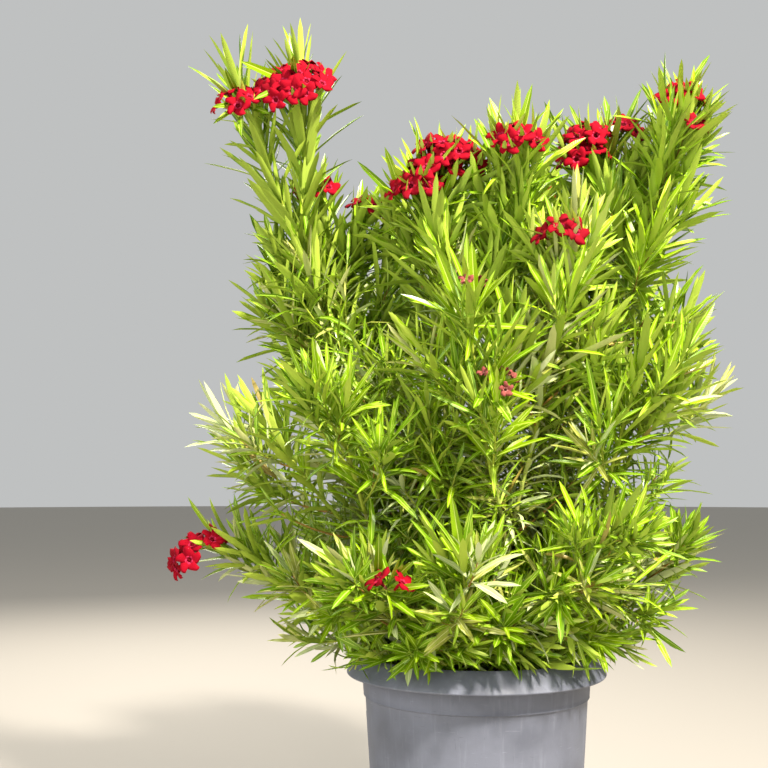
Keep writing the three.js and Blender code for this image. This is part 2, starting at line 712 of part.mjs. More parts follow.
  /** The finished mass: stem, flowers, then leaves up the stem and on the side twigs. */
  geometry() {
    const { foot, tip, direction, name } = this.plan;
    const length = foot.distanceTo(tip);
    const curve = new THREE.QuadraticBezierCurve3(
      foot,
      foot.clone().addScaledVector(direction, length * BEND_SHARE),
      tip,
    );
    const stem = sampledLimb(curve, evenShares(STEM_STEPS), (t) => (
      THREE.MathUtils.lerp(STEM_FOOT_RADIUS, STEM_TIP_RADIUS, t)
    ));
    this.addTwig(stem, direction);
    if (FLOWERING.has(name)) this.addFlowers(stem);
    this.addWhorls(stem, LEAFY_FROM);
    this.addSideTwigs(stem, length);
    return geometryFrom(filled(this.body).simplify(SLIVER));
  }
}

/** A named mesh with its own material. */
function named(name, geometry, colour, roughness = 0.8) {
  const material = new THREE.MeshStandardMaterial({ color: colour, roughness, metalness: 0 });
  const mesh = new THREE.Mesh(geometry, material);
  mesh.name = name;
  return mesh;
}

/** The whole plant in its pot. */
function oleander() {
  const group = new THREE.Group();
  group.add(named("pot", potGeometry(), COLOURS.pot, 0.6));
  group.add(named("soil", soilGeometry(), COLOURS.soil, 1));
  const canes = new Map(CANES.map((row) => [row.name, caneSamples(row)]));
  const limbs = [...canes.values()];
  canes.forEach((samples, name) => {
    group.add(named(`cane_${name}`, caneGeometry(samples), COLOURS.bark));
  });
  CANES.forEach((row) => {
    shootsOf(row).forEach((shoot) => {
      const samples = boughSamples(shoot);
      limbs.push(samples);
      const geometry = limbGeometry(samples, BOUGH_SIDES, shoot.startDirection);
      group.add(named(`bough_${row.name}_${shoot.suffix}`, geometry, COLOURS.green_bark));
    });
  });
  const plans = massPlans(canes);
  plans.forEach((plan, i) => {
    const mass = new Mass(plan, plans, limbs, OTHER_SEEDS[plan.name] ?? FIRST_SEED + i);
    group.add(named(`leaves_${plan.name}`, mass.geometry(), COLOURS.leaf));
  });
  return group;
}

export default oleander();
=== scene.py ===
"""Looks of a potted oleander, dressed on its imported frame.

Metres, +Z up, and the front faces -Y. The canes, boughs and shoots follow the growth rule of the solids,
from the same sizes, and are carried on here to finer twigs, single leaves and blossom.
"""

import logging
import math
import random
from collections.abc import Callable, Sequence
from dataclasses import dataclass, field
from enum import Enum

import bmesh
import bpy
import numpy as np
from bmesh.types import BMEdge, BMesh, BMVert
from bpy.types import Material, Mesh, Node, NodeSocket, NodeTree, Object
from mathutils import Matrix, Quaternion, Vector, noise


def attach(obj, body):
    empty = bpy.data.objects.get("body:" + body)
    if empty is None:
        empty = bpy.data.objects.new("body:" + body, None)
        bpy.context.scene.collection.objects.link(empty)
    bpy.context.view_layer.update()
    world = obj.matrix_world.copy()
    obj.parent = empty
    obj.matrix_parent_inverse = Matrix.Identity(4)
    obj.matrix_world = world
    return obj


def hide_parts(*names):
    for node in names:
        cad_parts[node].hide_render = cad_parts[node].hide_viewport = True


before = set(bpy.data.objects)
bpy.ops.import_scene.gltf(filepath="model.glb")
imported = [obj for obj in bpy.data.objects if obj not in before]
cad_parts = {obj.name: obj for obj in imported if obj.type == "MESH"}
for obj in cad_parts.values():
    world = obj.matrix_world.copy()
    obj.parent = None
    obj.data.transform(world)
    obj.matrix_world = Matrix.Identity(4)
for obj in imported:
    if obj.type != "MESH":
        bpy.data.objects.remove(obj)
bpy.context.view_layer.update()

LOG = logging.getLogger("oleander")
# Two numbers, such as a range or a place in a section
Pair = tuple[float, float]
MM = 0.001
UP = Vector((0.0, 0.0, 1.0))
GOLDEN_ANGLE = 137.5
# A length too small to divide by, and a bend in radians that still counts as straight
TINY = 1e-9
STRAIGHT = 1e-3


# Colours and nodes
def linear(hex_colour: str) -> tuple[float, float, float, float]:
    """Turns an sRGB hex colour to linear light.

    Args:
        hex_colour: Six hex digits, such as "8a7a58".

    Returns:
        Red, green, blue and a full alpha, from 0 to 1.
    """
    parts = [int(hex_colour[i:i + 2], 16) / 255 for i in (0, 2, 4)]
    light = [c / 12.92 if c <= 0.04045 else ((c + 0.055) / 1.055) ** 2.4 for c in parts]
    return (light[0], light[1], light[2], 1.0)


def add_node(
    tree: NodeTree,
    kind: str,
    settings: dict[str | int, object] | None = None,
    links: dict[str | int, NodeSocket] | None = None,
) -> Node:
    """Adds a node with its settings and links.

    Args:
        tree: The node tree of a material or world.
        kind: The node's type name after ShaderNode.
        settings: Values of input sockets by name or number, or of the node's own attributes. Stops is a
            list of (place, hex colour) for a colour ramp.
        links: The output socket that feeds each input, by its name or number.

    Returns:
        The new node.
    """
    node = tree.nodes.new("ShaderNode" + kind)
    for key, value in (settings or {}).items():
        if key == "stops":
            ramp = node.color_ramp.elements
            while len(ramp) < len(value):
                ramp.new(1.0)
            for stop, (place, hex_colour) in zip(ramp, value):
                stop.position = place
                stop.color = linear(hex_colour)
        elif isinstance(key, str) and hasattr(node, key):
            setattr(node, key, value)
        else:
            node.inputs[key].default_value = value
    for key, source in (links or {}).items():
        tree.links.new(source, node.inputs[key])
    return node


def new_material(name: str, settings: dict[str, object]) -> tuple[NodeTree, Node]:
    """Starts a material with one Principled shader.

    Args:
        name: What the material is.
        settings: Values of the shader's sockets.

    Returns:
        The node tree and the shader. The material is bpy.data.materials[name].
    """
    material = bpy.data.materials.new(name)
    material.use_nodes = True
    tree = material.node_tree
    shader = tree.nodes["Principled BSDF"]
    for key, value in settings.items():
        shader.inputs[key].default_value = value
    return tree, shader


# Finishes
@dataclass(frozen=True)
class Mark:
    """Thin scuffs or water streaks that run along the axis of least stretch, tilted by an angle in radians.

    They start to show at the first noise of shows, and are full at the second.
    """

    stretch: tuple[float, float, float]
    tilt: float
    width: float
    shows: Pair
    colour: str


@dataclass(frozen=True)
class Polyethylene:
    """Black blow-moulded polyethylene, bleached by the sun to a chalky grey, dusty and water-marked."""

    name: str = "sun_bleached_polyethylene"
    ior: float = 1.5
    roughness: Pair = (0.5, 0.72)
    # The greys carry a blue cast, a painted reflection of the sky, over the plastic's own grey.
    body: tuple[tuple[float, str], ...] = ((0.3, "5c606c"), (0.6, "6e727f"))
    blotch: float = 70 * MM
    dust: str = "8f8274"
    dust_top: float = 190 * MM
    dust_share: float = 0.75
    grain: float = 1.4 * MM
    grain_height: float = 0.3 * MM
    mark_strength: str = "e0e0e0"
    marks: tuple[Mark, ...] = (
        Mark((1.0, 1.0, 0.08), 0.0, 12 * MM, (0.54, 0.80), "8c909c"),
        Mark((1.0, 1.0, 0.04), 0.14, 2.4 * MM, (0.67, 0.78), "989ca8"),
        Mark((0.08, 0.08, 1.0), 0.09, 3.0 * MM, (0.67, 0.78), "a2a6b2"),
        Mark((0.14, 0.14, 1.0), -0.2, 2.2 * MM, (0.66, 0.76), "44464e"),
        Mark((1.0, 1.0, 0.07), -0.12, 2.2 * MM, (0.66, 0.76), "44464e"),
    )

    def material(self) -> Material:
        """The moulded wall: soft mottling, rain streaks down it, dust low down and a fine moulded grain."""
        tree, shader = new_material(self.name, {"IOR": self.ior})
        place = add_node(tree, "TexCoord").outputs["Object"]
        blotches = add_node(
            tree, "TexNoise", {"Scale": 1 / self.blotch, "Detail": 5.0}, {"Vector": place},
        ).outputs["Fac"]
        colour = add_node(tree, "ValToRGB", {"stops": self.body}, {"Fac": blotches}).outputs["Color"]
        for mark in self.marks:
            run = add_node(
                tree, "Mapping", {"Rotation": (mark.tilt, mark.tilt, 0.0), "Scale": mark.stretch},
                {"Vector": place},
            )
            lines = add_node(
                tree, "TexNoise", {"Scale": 1 / mark.width, "Detail": 3.0, "Roughness": 0.6},
                {"Vector": run.outputs["Vector"]},
            )
            first, full = mark.shows
            shown = add_node(
                tree, "ValToRGB", {"stops": [(first, "000000"), (full, self.mark_strength)]},
                {"Fac": lines.outputs["Fac"]},
            )
            patches = add_node(
                tree, "Math", {"operation": "MULTIPLY"}, {0: shown.outputs["Color"], 1: blotches},
            )
            marked = add_node(
                tree, "Mix", {"data_type": "RGBA", 7: linear(mark.colour)},
                {0: patches.outputs["Value"], 6: colour},
            )
            colour = marked.outputs[2]
        height = add_node(tree, "SeparateXYZ", {}, {"Vector": place}).outputs["Z"]
        low = add_node(
            tree, "MapRange",
            {"From Min": 0.0, "From Max": self.dust_top, "To Min": self.dust_share, "To Max": 0.0},
            {"Value": height},
        )
        patchy = add_node(
            tree, "Math", {"operation": "MULTIPLY", "use_clamp": True},
            {0: low.outputs["Result"], 1: blotches},
        )
        dusty = add_node(
            tree, "Mix", {"data_type": "RGBA", 7: linear(self.dust)},
            {0: patchy.outputs["Value"], 6: colour},
        )
        tree.links.new(dusty.outputs[2], shader.inputs["Base Color"])
        smooth, dull = self.roughness
        sheen = add_node(
            tree, "MapRange",
            {"From Min": 0.35, "From Max": 0.7, "To Min": smooth, "To Max": dull}, {"Value": blotches},
        )
        tree.links.new(sheen.outputs["Result"], shader.inputs["Roughness"])
        grains = add_node(tree, "TexNoise", {"Scale": 1 / self.grain, "Detail": 2.0}, {"Vector": place})
        bump = add_node(
            tree, "Bump", {"Strength": 0.35, "Distance": self.grain_height},
            {"Height": grains.outputs["Fac"]},
        )
        tree.links.new(bump.outputs["Normal"], shader.inputs["Normal"])
        return bpy.data.materials[self.name]


@dataclass(frozen=True)
class PottingBark:
    """Composted bark, paler on the high crumbs and darker in the low places between the bits."""

    name: str = "composted_bark"
    ior: float = 1.45
    roughness: float = 0.95
    browns: tuple[tuple[float, str], ...] = ((0.38, "2b1f17"), (0.52, "4d3927"), (0.68, "7d6548"))
    crumb: float = 6 * MM
    crumb_height: float = 2 * MM

    def material(self) -> Material:
        """Loose crumbs in three browns."""
        tree, shader = new_material(self.name, {"Roughness": self.roughness, "IOR": self.ior})
        place = add_node(tree, "TexCoord").outputs["Object"]
        crumbs = add_node(
            tree, "TexNoise", {"Scale": 1 / self.crumb, "Detail": 6.0, "Roughness": 0.7}, {"Vector": place},
        )
        tint = add_node(tree, "ValToRGB", {"stops": self.browns}, {"Fac": crumbs.outputs["Fac"]})
        tree.links.new(tint.outputs["Color"], shader.inputs["Base Color"])
        bump = add_node(
            tree, "Bump", {"Strength": 0.8, "Distance": self.crumb_height},
            {"Height": crumbs.outputs["Fac"]},
        )
        tree.links.new(bump.outputs["Normal"], shader.inputs["Normal"])
        return bpy.data.materials[self.name]


@dataclass(frozen=True)
class CaneBark:
    """Thin oleander bark: grey-brown and pored on old wood, olive and then green towards the young end."""

    name: str = "oleander_bark"
    ior: float = 1.45
    roughness: float = 0.62
    ages: tuple[tuple[float, str], ...] = ((0.12, "6f5d45"), (0.5, "8a7b4c"), (0.85, "9fae4a"))
    mottle: float = 24 * MM
    pore: str = "b3a27c"
    pore_spacing: float = 5 * MM
    pore_edges: tuple[tuple[float, str], ...] = ((0.1, "9a9a9a"), (0.2, "000000"))
    fibre: float = 3 * MM
    fibre_height: float = 0.5 * MM
    lengthwise: tuple[float, float, float] = (1.0, 1.0, 0.55)

    def material(self) -> Material:
        """Reads the age attribute along the cane, with pale pores and fine lengthwise fibres."""
        tree, shader = new_material(self.name, {"Roughness": self.roughness, "IOR": self.ior})
        place = add_node(tree, "TexCoord").outputs["Object"]
        age = add_node(tree, "Attribute", {"attribute_name": "age"}).outputs["Fac"]
        mottle = add_node(tree, "TexNoise", {"Scale": 1 / self.mottle, "Detail": 4.0}, {"Vector": place})
        uneven = add_node(
            tree, "Math", {"operation": "MULTIPLY_ADD", 1: 0.5, 2: -0.25}, {0: mottle.outputs["Fac"]},
        )
        shifted = add_node(
            tree, "Math", {"operation": "ADD", "use_clamp": True}, {0: age, 1: uneven.outputs["Value"]},
        )
        skin = add_node(tree, "ValToRGB", {"stops": self.ages}, {"Fac": shifted.outputs["Value"]})
        long_way = add_node(tree, "Mapping", {"Scale": self.lengthwise}, {"Vector": place})
        pores = add_node(
            tree, "TexVoronoi", {"Scale": 1 / self.pore_spacing, "Randomness": 1.0},
            {"Vector": long_way.outputs["Vector"]},
        )
        spots = add_node(tree, "ValToRGB", {"stops": self.pore_edges}, {"Fac": pores.outputs["Distance"]})
        pored = add_node(
            tree, "Mix", {"data_type": "RGBA", 7: linear(self.pore)},
            {0: spots.outputs["Color"], 6: skin.outputs["Color"]},
        )
        tree.links.new(pored.outputs[2], shader.inputs["Base Color"])
        fibres = add_node(
            tree, "TexNoise", {"Scale": 1 / self.fibre, "Detail": 3.0},
            {"Vector": long_way.outputs["Vector"]},
        )
        bump = add_node(
            tree, "Bump", {"Strength": 0.6, "Distance": self.fibre_height},
            {"Height": fibres.outputs["Fac"]},
        )
        tree.links.new(bump.outputs["Normal"], shader.inputs["Normal"])
        return bpy.data.materials[self.name]


@dataclass(frozen=True)
class Skin:
    """A smooth surface in one plain colour with a fine relief.

    It is a leaf's waxy face, a green shoot, a petal or the painted floor. The colour is plain, so that each
    spray keeps its own tint, and the relief gives the light something to catch.
    """

    name: str
    colour: str
    roughness: float = 0.45
    vein_spacing: float = 0.0
    vein_slant: float = 0.05
    grain: float = 0.0
    relief_height: float = 0.25 * MM
    relief_strength: float = 0.25
    coat: float = 0.0
    coat_roughness: float = 0.2
    ior: float = 1.42

    def material(self) -> Material:
        """The plain colour, under veins along the blade's map or else a grain."""
        tree, shader = new_material(
            self.name,
            {
                "Base Color": linear(self.colour), "Roughness": self.roughness, "IOR": self.ior,
                "Coat Weight": self.coat, "Coat Roughness": self.coat_roughness,
            },
        )
        height = self.veins(tree) if self.vein_spacing else self.grains(tree)
        bump = add_node(
            tree, "Bump", {"Strength": self.relief_strength, "Distance": self.relief_height},
            {"Height": height},
        )
        tree.links.new(bump.outputs["Normal"], shader.inputs["Normal"])
        return bpy.data.materials[self.name]

    def veins(self, tree: NodeTree) -> NodeSocket:
        """The height of side veins that slant forward from the midrib, by the blade's map."""
        blade = add_node(tree, "UVMap", {"uv_map": "Blade"}).outputs["UV"]
        parts = add_node(tree, "SeparateXYZ", {}, {"Vector": blade})
        out = add_node(tree, "Math", {"operation": "ABSOLUTE"}, {0: parts.outputs["X"]})
        slant = add_node(
            tree, "Math", {"operation": "MULTIPLY_ADD", 1: -self.vein_slant},
            {0: out.outputs["Value"], 2: parts.outputs["Y"]},
        )
        wave = add_node(
            tree, "Math", {"operation": "MULTIPLY", 1: math.tau / self.vein_spacing},
            {0: slant.outputs["Value"]},
        )
        relief = add_node(tree, "Math", {"operation": "SINE"}, {0: wave.outputs["Value"]})
        return relief.outputs["Value"]

    def grains(self, tree: NodeTree) -> NodeSocket:
        """The height of an even grain."""
        place = add_node(tree, "TexCoord").outputs["Object"]
        relief = add_node(tree, "TexNoise", {"Scale": 1 / self.grain, "Detail": 3.0}, {"Vector": place})
        return relief.outputs["Fac"]


# Limbs and the growth rule
@dataclass(frozen=True)
class Spot:
    """A place on a limb."""

    point: Vector
    radius: float
    direction: Vector


def on_curve(controls: Sequence[Vector], t: float) -> Vector:
    """A point at t from 0 to 1 on the Bezier curve of the control points."""
    points = list(controls)
    while len(points) > 1:
        points = [a.lerp(b, t) for a, b in zip(points, points[1:])]
    return points[0]


def outward(turn: float) -> Vector:
    """A level unit vector at a compass angle in degrees."""
    return Vector((math.cos(math.radians(turn)), math.sin(math.radians(turn)), 0.0))


def square_to(direction: Vector) -> Vector:
    """A unit vector square to the given one."""
    helper = UP if abs(direction.z) < 0.9 else Vector((1.0, 0.0, 0.0))
    return helper.cross(direction).normalized()


def splayed(axis: Vector, turn: float, opening: float) -> Vector:
    """A direction turned away from an axis.

    Args:
        axis: The unit vector that it leaves.
        turn: Degrees round the axis.
        opening: Degrees away from it.

    Returns:
        A unit vector.
    """
    radial = Quaternion(axis, math.radians(turn)) @ square_to(axis)
    angle = math.radians(opening)
    return (axis * math.cos(angle) + radial * math.sin(angle)).normalized()


class Limb:
    """A stem as a line of points, each with its radius, from foot to tip."""

    def __init__(self, points: list[Vector], radii: list[float]) -> None:
        """Keeps the points and how far along each one lies."""
        self.points = points
        self.radii = radii
        self.reached = [0.0]
        for a, b in zip(points, points[1:]):
            self.reached.append(self.reached[-1] + (b - a).length)

    @classmethod
    def curved(
        cls, controls: Sequence[Vector], steps: int, foot_radius: float, tip_radius: float
    ) -> "Limb":
        """A limb along a Bezier curve, with an even taper.

        Args:
            controls: The curve's control points.
            steps: How many straight pieces it has.
            foot_radius: The radius at its foot.
            tip_radius: The radius at its tip.

        Returns:
            The sampled limb.
        """
        shares = [i / steps for i in range(steps + 1)]
        radii = [foot_radius + (tip_radius - foot_radius) * t for t in shares]
        return cls([on_curve(controls, t) for t in shares], radii)

    @property
    def length(self) -> float:
        """Its whole length."""
        return self.reached[-1]

    def at(self, share: float) -> Spot:
        """The place at a share of its length."""
        wanted = share * self.length
        last = len(self.points) - 2
        i = next((k for k in range(last) if self.reached[k + 1] > wanted), last)
        a, b = self.points[i], self.points[i + 1]
        t = min((wanted - self.reached[i]) / max((b - a).length, TINY), 1.0)
        radius = self.radii[i] + (self.radii[i + 1] - self.radii[i]) * t
        return Spot(a.lerp(b, t), radius, (b - a).normalized())


@dataclass(frozen=True)
class GrowthSizes:
    """The sizes that the solids' growth rule shares with this one.

    Leans are sideways parts against an upward part of one. The other shares are of a limb's length.
    """

    soil_height: float = 395 * MM
    foot_ring: float = 62 * MM
    flare_radius: float = 15 * MM
    cane_foot_radius: float = 9.5 * MM
    cane_tip_radius: float = 6 * MM
    fork_radius: float = 8.5 * MM
    bough_foot_radius: float = 3.8 * MM
    bough_tip_radius: float = 3 * MM
    fork_half_gap: float = 4.3 * MM
    bough_share: float = 0.3
    foot_lean: float = 0.12
    fork_lean: float = 0.3
    bend_share: float = 0.3
    stem_foot_radius: float = 4.2 * MM
    stem_tip_radius: float = 1.9 * MM
    shoot_seat: float = 0.6
    cane_steps: int = 24
    bough_steps: int = 8
    stem_steps: int = 12
    tip_reach: float = 140 * MM
    crown_middle: float = -22 * MM
    crown_half_width: float = 492 * MM
    crown_half_depth: float = 462 * MM


GROWTH = GrowthSizes()


@dataclass(frozen=True)
class ShootPlan:
    """Where one leafy mass stands: the stem's foot, first direction and tip."""

    name: str
    foot: Vector
    direction: Vector
    tip: Vector

    def stem(self) -> Limb:
        """The stem that carries the mass."""
        length = (self.tip - self.foot).length
        controls = (self.foot, self.foot + self.direction * length * GROWTH.bend_share, self.tip)
        return Limb.curved(controls, GROWTH.stem_steps, GROWTH.stem_foot_radius, GROWTH.stem_tip_radius)


@dataclass(frozen=True)
class CanePlan:
    """One cane and the two shoots past its fork, in millimetres and degrees.

    Turn and part are compass angles, reach and foot distances from the axis. The shoots part on both sides of
    a middle that is farther out than the fork by its push, and the second's leaves are higher by the lift.
    """

    name: str
    turn: float
    reach: float
    fork: float
    push: float
    part: float
    spread: float
    top: float
    lift: float
    foot: float | None = None
    youth: float = 0.3

    def limb(self) -> Limb:
        """The cane from the soil to its fork, finely sampled."""
        out = outward(self.turn)
        foot = out * (GROWTH.foot_ring if self.foot is None else self.foot * MM) + UP * GROWTH.soil_height
        fork = out * self.reach * MM + UP * self.fork * MM
        rise = (fork - foot).length * GROWTH.bend_share
        leave = (UP + out * GROWTH.foot_lean).normalized()
        arrive = (UP + out * GROWTH.fork_lean).normalized()
        controls = (foot, foot + leave * rise, fork - arrive * rise, fork)
        return Limb.curved(controls, GROWTH.cane_steps, GROWTH.cane_foot_radius, GROWTH.cane_tip_radius)

    def boughs(self) -> list[tuple[str, Limb, ShootPlan]]:
        """The two boughs past the fork.

        Returns:
            For each bough its suffix, its limb and the mass that it bears.
        """
        end = self.limb().at(1.0)
        sideways = outward(self.part)
        seat = (sideways - end.direction * sideways.dot(end.direction)).normalized()
        found = []
        for hand, suffix in ((-1, "a"), (1, "b")):
            start = end.point + seat * hand * GROWTH.fork_half_gap
            tip = end.point + outward(self.turn) * self.push * MM + sideways * hand * self.spread * MM
            tip.z = self.top * MM - GROWTH.tip_reach + (self.lift * MM if hand > 0 else 0.0)
            stop = start.lerp(tip, GROWTH.bough_share)
            bend = start + end.direction * (stop - start).length * GROWTH.bend_share
            bough = Limb.curved(
                (start, bend, stop), GROWTH.bough_steps, GROWTH.bough_foot_radius, GROWTH.bough_tip_radius,
            )
            last = bough.at(1.0)
            mass = ShootPlan(f"{self.name}_{suffix}", last.point, last.direction, tip)
            found.append((suffix, bough, mass))
        return found


@dataclass(frozen=True)
class SideShoot:
    """A shoot that breaks from a cane's side, in millimetres and degrees.

    It leaves at a share of the cane, and its tip has a compass angle, a distance from the axis and a height.
    """

    name: str
    cane: str
    share: float
    turn: float
    reach: float
    end: float

    def plan(self, cane: Limb) -> ShootPlan:
        """The mass that this shoot carries."""
        at = cane.at(self.share)
        tip = outward(self.turn) * self.reach * MM + UP * self.end * MM
        away = tip - at.point
        away = (away - at.direction * away.dot(at.direction)).normalized()
        return ShootPlan(self.name, at.point + away * at.radius * GROWTH.shoot_seat, away, tip)


CANES = (
    CanePlan("left_tall", 185, 305, 1140, 62, 0, 55, 1578, 30, foot=30, youth=0.95),
    CanePlan("left", 206, 190, 600, 150, 135, 85, 1020, -40),
    CanePlan("left_back", 150, 190, 720, 105, 80, 70, 1330, -130, youth=0.4),
    CanePlan("centre", 260, 45, 780, 30, 345, 78, 1350, 75, foot=18),
    CanePlan("back", 92, 170, 740, 95, 0, 105, 1370, 95, youth=0.4),
    CanePlan("right_tall", 2, 205, 860, 105, 318, 70, 1440, 40, foot=30, youth=0.7),
    CanePlan("right_back", 48, 205, 740, 160, 330, 80, 1420, -50, youth=0.5),
    CanePlan("right", 338, 205, 620, 130, 50, 85, 1070, 90),
    CanePlan("front", 285, 155, 620, 85, 25, 100, 1130, 150, youth=0.5),
)

SIDE_SHOOTS = (
    SideShoot("skirt_left", "left", 0.4, 191, 385, 610),
    SideShoot("skirt_left_front", "left", 0.25, 231, 320, 590),
    SideShoot("skirt_front", "front", 0.3, 262, 305, 620),
    SideShoot("skirt_front_right", "front", 0.6, 306, 320, 660),
    SideShoot("skirt_right", "right", 0.35, 350, 345, 620),
    SideShoot("skirt_right_back", "right_back", 0.25, 33, 335, 640),
    SideShoot("skirt_back", "back", 0.3, 88, 330, 650),
    SideShoot("skirt_left_back", "left_back", 0.25, 148, 345, 640),
    SideShoot("middle_front", "centre", 0.3, 248, 240, 850),
    SideShoot("middle_left", "left_tall", 0.3, 215, 190, 930),
    SideShoot("upper_left", "left_tall", 0.62, 176, 350, 1120),
    SideShoot("middle_right", "right_tall", 0.4, 325, 225, 980),
    SideShoot("middle_back", "back", 0.6, 120, 260, 930),
)


# Meshes
def in_scene(name: str, mesh: Mesh, materials: Sequence[Material]) -> Object:
    """Puts a mesh in the scene as an object at the origin.

    Args:
        name: The object's name.
        mesh: Its mesh, whose vertices hold its place.
        materials: Its materials, in slot order.

    Returns:
        The new object.
    """
    mesh.name = name
    for material in materials:
        mesh.materials.append(material)
    piece = bpy.data.objects.new(name, mesh)
    bpy.context.scene.collection.objects.link(piece)
    return piece


def settle(piece: Object, nodes: Sequence[str] = ()) -> Object:
    """Lets a finished piece ride on the plant's body, and hides the solids that it stands for.

    Args:
        piece: The finished piece.
        nodes: The solids that it replaces.

    Returns:
        The same piece.
    """
    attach(piece, "root")
    if nodes:
        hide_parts(*nodes)
    LOG.info("%s: %d faces", piece.name, len(piece.data.polygons))
    return piece


def loft(bm: BMesh, rings: Sequence[Sequence[Vector]]) -> list[BMVert]:
    """Draws a closed skin through rings of points and caps its ends.

    A ring of one point repeated makes a tip, whose points are merged afterwards.

    Args:
        bm: The mesh to draw in.
        rings: Rings of equally many points, from one end to the other.

    Returns:
        The vertices of every ring, in order.
    """
    place = bm.verts.layers.int.get("place") or bm.verts.layers.int.new("place")
    made = bmesh.ops.create_circle(bm, segments=len(rings[0]), radius=1.0)["verts"]
    for i, vert in enumerate(made):
        vert[place] = i
        vert.co = rings[0][i]
    edges = list(dict.fromkeys(edge for vert in made for edge in vert.link_edges))
    every = list(made)
    first = edges
    for ring in rings[1:]:
        grown = bmesh.ops.extrude_edge_only(bm, edges=edges)["geom"]
        verts = [g for g in grown if isinstance(g, BMVert)]
        for vert in verts:
            vert.co = ring[vert[place]]
        verts.sort(key=lambda v: v[place])
        fresh = set(verts)
        edges = [g for g in grown if isinstance(g, BMEdge) and set(g.verts) <= fresh]
        every.extend(verts)
    for end in (first, edges):
        bmesh.ops.contextual_create(bm, geom=end)
    return every


def add_skin(bm: BMesh, rings: Sequence[Sequence[Vector]], slot: int = 0) -> list[BMVert]:
    """Lofts a closed skin into a mesh that may hold others, with its own faces outwards.

    Args:
        bm: The mesh to draw in.
        rings: Rings of equally many points, from one end to the other.
        slot: The material slot of its faces.

    Returns:
        The vertices of every ring, in order.
    """
    before = set(bm.faces)
    verts = loft(bm, rings)
    fresh = [face for face in bm.faces if face not in before]
    bmesh.ops.recalc_face_normals(bm, faces=fresh)
    for face in fresh:
        face.material_index = slot
    return verts


def in_section(radius: float, height: float) -> Vector:
    """A point of a section that is spun round the upright axis."""
    return Vector((radius, 0.0, height))


def spun(section: Sequence[Vector], turns: int) -> BMesh:
    """Spins a section round the upright axis to a closed skin.

    Args:
        section: The section's points, from the axis back to the axis.
        turns: How many steps the full turn has.

    Returns:
        The new mesh, its poles merged and its faces outwards.
    """
    bm = bmesh.new()
    verts = [bm.verts.new(point) for point in section]
    edges = [bm.edges.new(pair) for pair in zip(verts, verts[1:])]
    bmesh.ops.spin(
        bm, geom=verts + edges, cent=(0, 0, 0), axis=(0, 0, 1), angle=math.tau, steps=turns,
        use_merge=True, use_duplicate=False,
    )
    bmesh.ops.remove_doubles(bm, verts=bm.verts, dist=0.01 * MM)
    bmesh.ops.recalc_face_normals(bm, faces=bm.faces)
    return bm


def smoothed(bm: BMesh) -> None:
    """Shades every face of a mesh smooth."""
    for face in bm.faces:
        face.smooth = True


def as_mesh(bm: BMesh) -> Mesh:
    """Turns a finished bmesh to a mesh, and frees it."""
    mesh = bpy.data.meshes.new("mesh")
    bm.to_mesh(mesh)
    bm.free()
    return mesh


def circle(count: int) -> list[float]:
    """Evenly spaced angles round a circle, in radians."""
    return [k * math.tau / count for k in range(count)]


class Pattern:
    """A small closed mesh that is repeated many times, kept as arrays."""

    def __init__(self, bm: BMesh, map_of: Callable[[Vector], Pair] | None = None) -> None:
        """Reads the mesh and frees it.

        Args:
            bm: The finished small mesh, whose edges between faces of different kinds may be sharp.
            map_of: Gives the UV map's place for a vertex's place.
        """
        mesh = as_mesh(bm)
        self.points = self.read(mesh.vertices, "co", 3, np.float32)
        self.edges = self.read(mesh.edges, "vertices", 2, np.int32)
        self.sharp = self.read(mesh.edges, "use_edge_sharp", 1, bool)
        self.corners = self.read(mesh.loops, "vertex_index", 1, np.int32)
        self.corner_edges = self.read(mesh.loops, "edge_index", 1, np.int32)
        self.starts = self.read(mesh.polygons, "loop_start", 1, np.int32)
        self.slots = self.read(mesh.polygons, "material_index", 1, np.int32)
        places = [map_of(Vector(p)) if map_of else (0.0, 0.0) for p in self.points]
        self.uv = np.array(places, np.float32)[self.corners]
        bpy.data.meshes.remove(mesh)

    @staticmethod
    def read(items: bpy.types.bpy_prop_collection, key: str, width: int, kind: type) -> np.ndarray:
        """One property of every item, as an array."""
        values = np.empty(len(items) * width, kind)
        items.foreach_get(key, values)
        return values.reshape(-1, width) if width > 1 else values

    def joined(self, points: np.ndarray, tints: np.ndarray) -> Mesh:
        """Many copies as one mesh.

        Args:
            points: The place of each copy's vertices, by copy, vertex and axis.
            tints: The tint of each copy, which picks its own run of material slots.

        Returns:
            The joined mesh.
        """
        count = len(points)
        step = np.arange(count, dtype=np.int32)[:, None]
        mesh = bpy.data.meshes.new("joined")
        mesh.vertices.add(count * len(self.points))
        mesh.vertices.foreach_set("co", points.astype(np.float32).ravel())
        mesh.edges.add(count * len(self.edges))
        mesh.edges.foreach_set("vertices", (self.edges.ravel() + step * len(self.points)).ravel())
        mesh.loops.add(count * len(self.corners))
        mesh.loops.foreach_set("vertex_index", (self.corners + step * len(self.points)).ravel())
        mesh.loops.foreach_set("edge_index", (self.corner_edges + step * len(self.edges)).ravel())
        mesh.polygons.add(count * len(self.starts))
        mesh.polygons.foreach_set("loop_start", (self.starts + step * len(self.corners)).ravel())
        kinds = int(self.slots.max()) + 1
        slots = (self.slots + tints[:, None] * kinds).astype(np.int32)
        mesh.polygons.foreach_set("material_index", slots.ravel())
        sharp = mesh.attributes.new("sharp_edge", "BOOLEAN", "EDGE")
        sharp.data.foreach_set("value", np.tile(self.sharp, count))
        mesh.uv_layers.new(name="Blade").data.foreach_set("uv", np.tile(self.uv, (count, 1)).ravel())
        mesh.update()
        mesh.validate()
        return mesh


class Wood(Enum):
    """The kinds of thin stem."""

    GREEN = 0
    RIPENED = 1
    STALK = 2


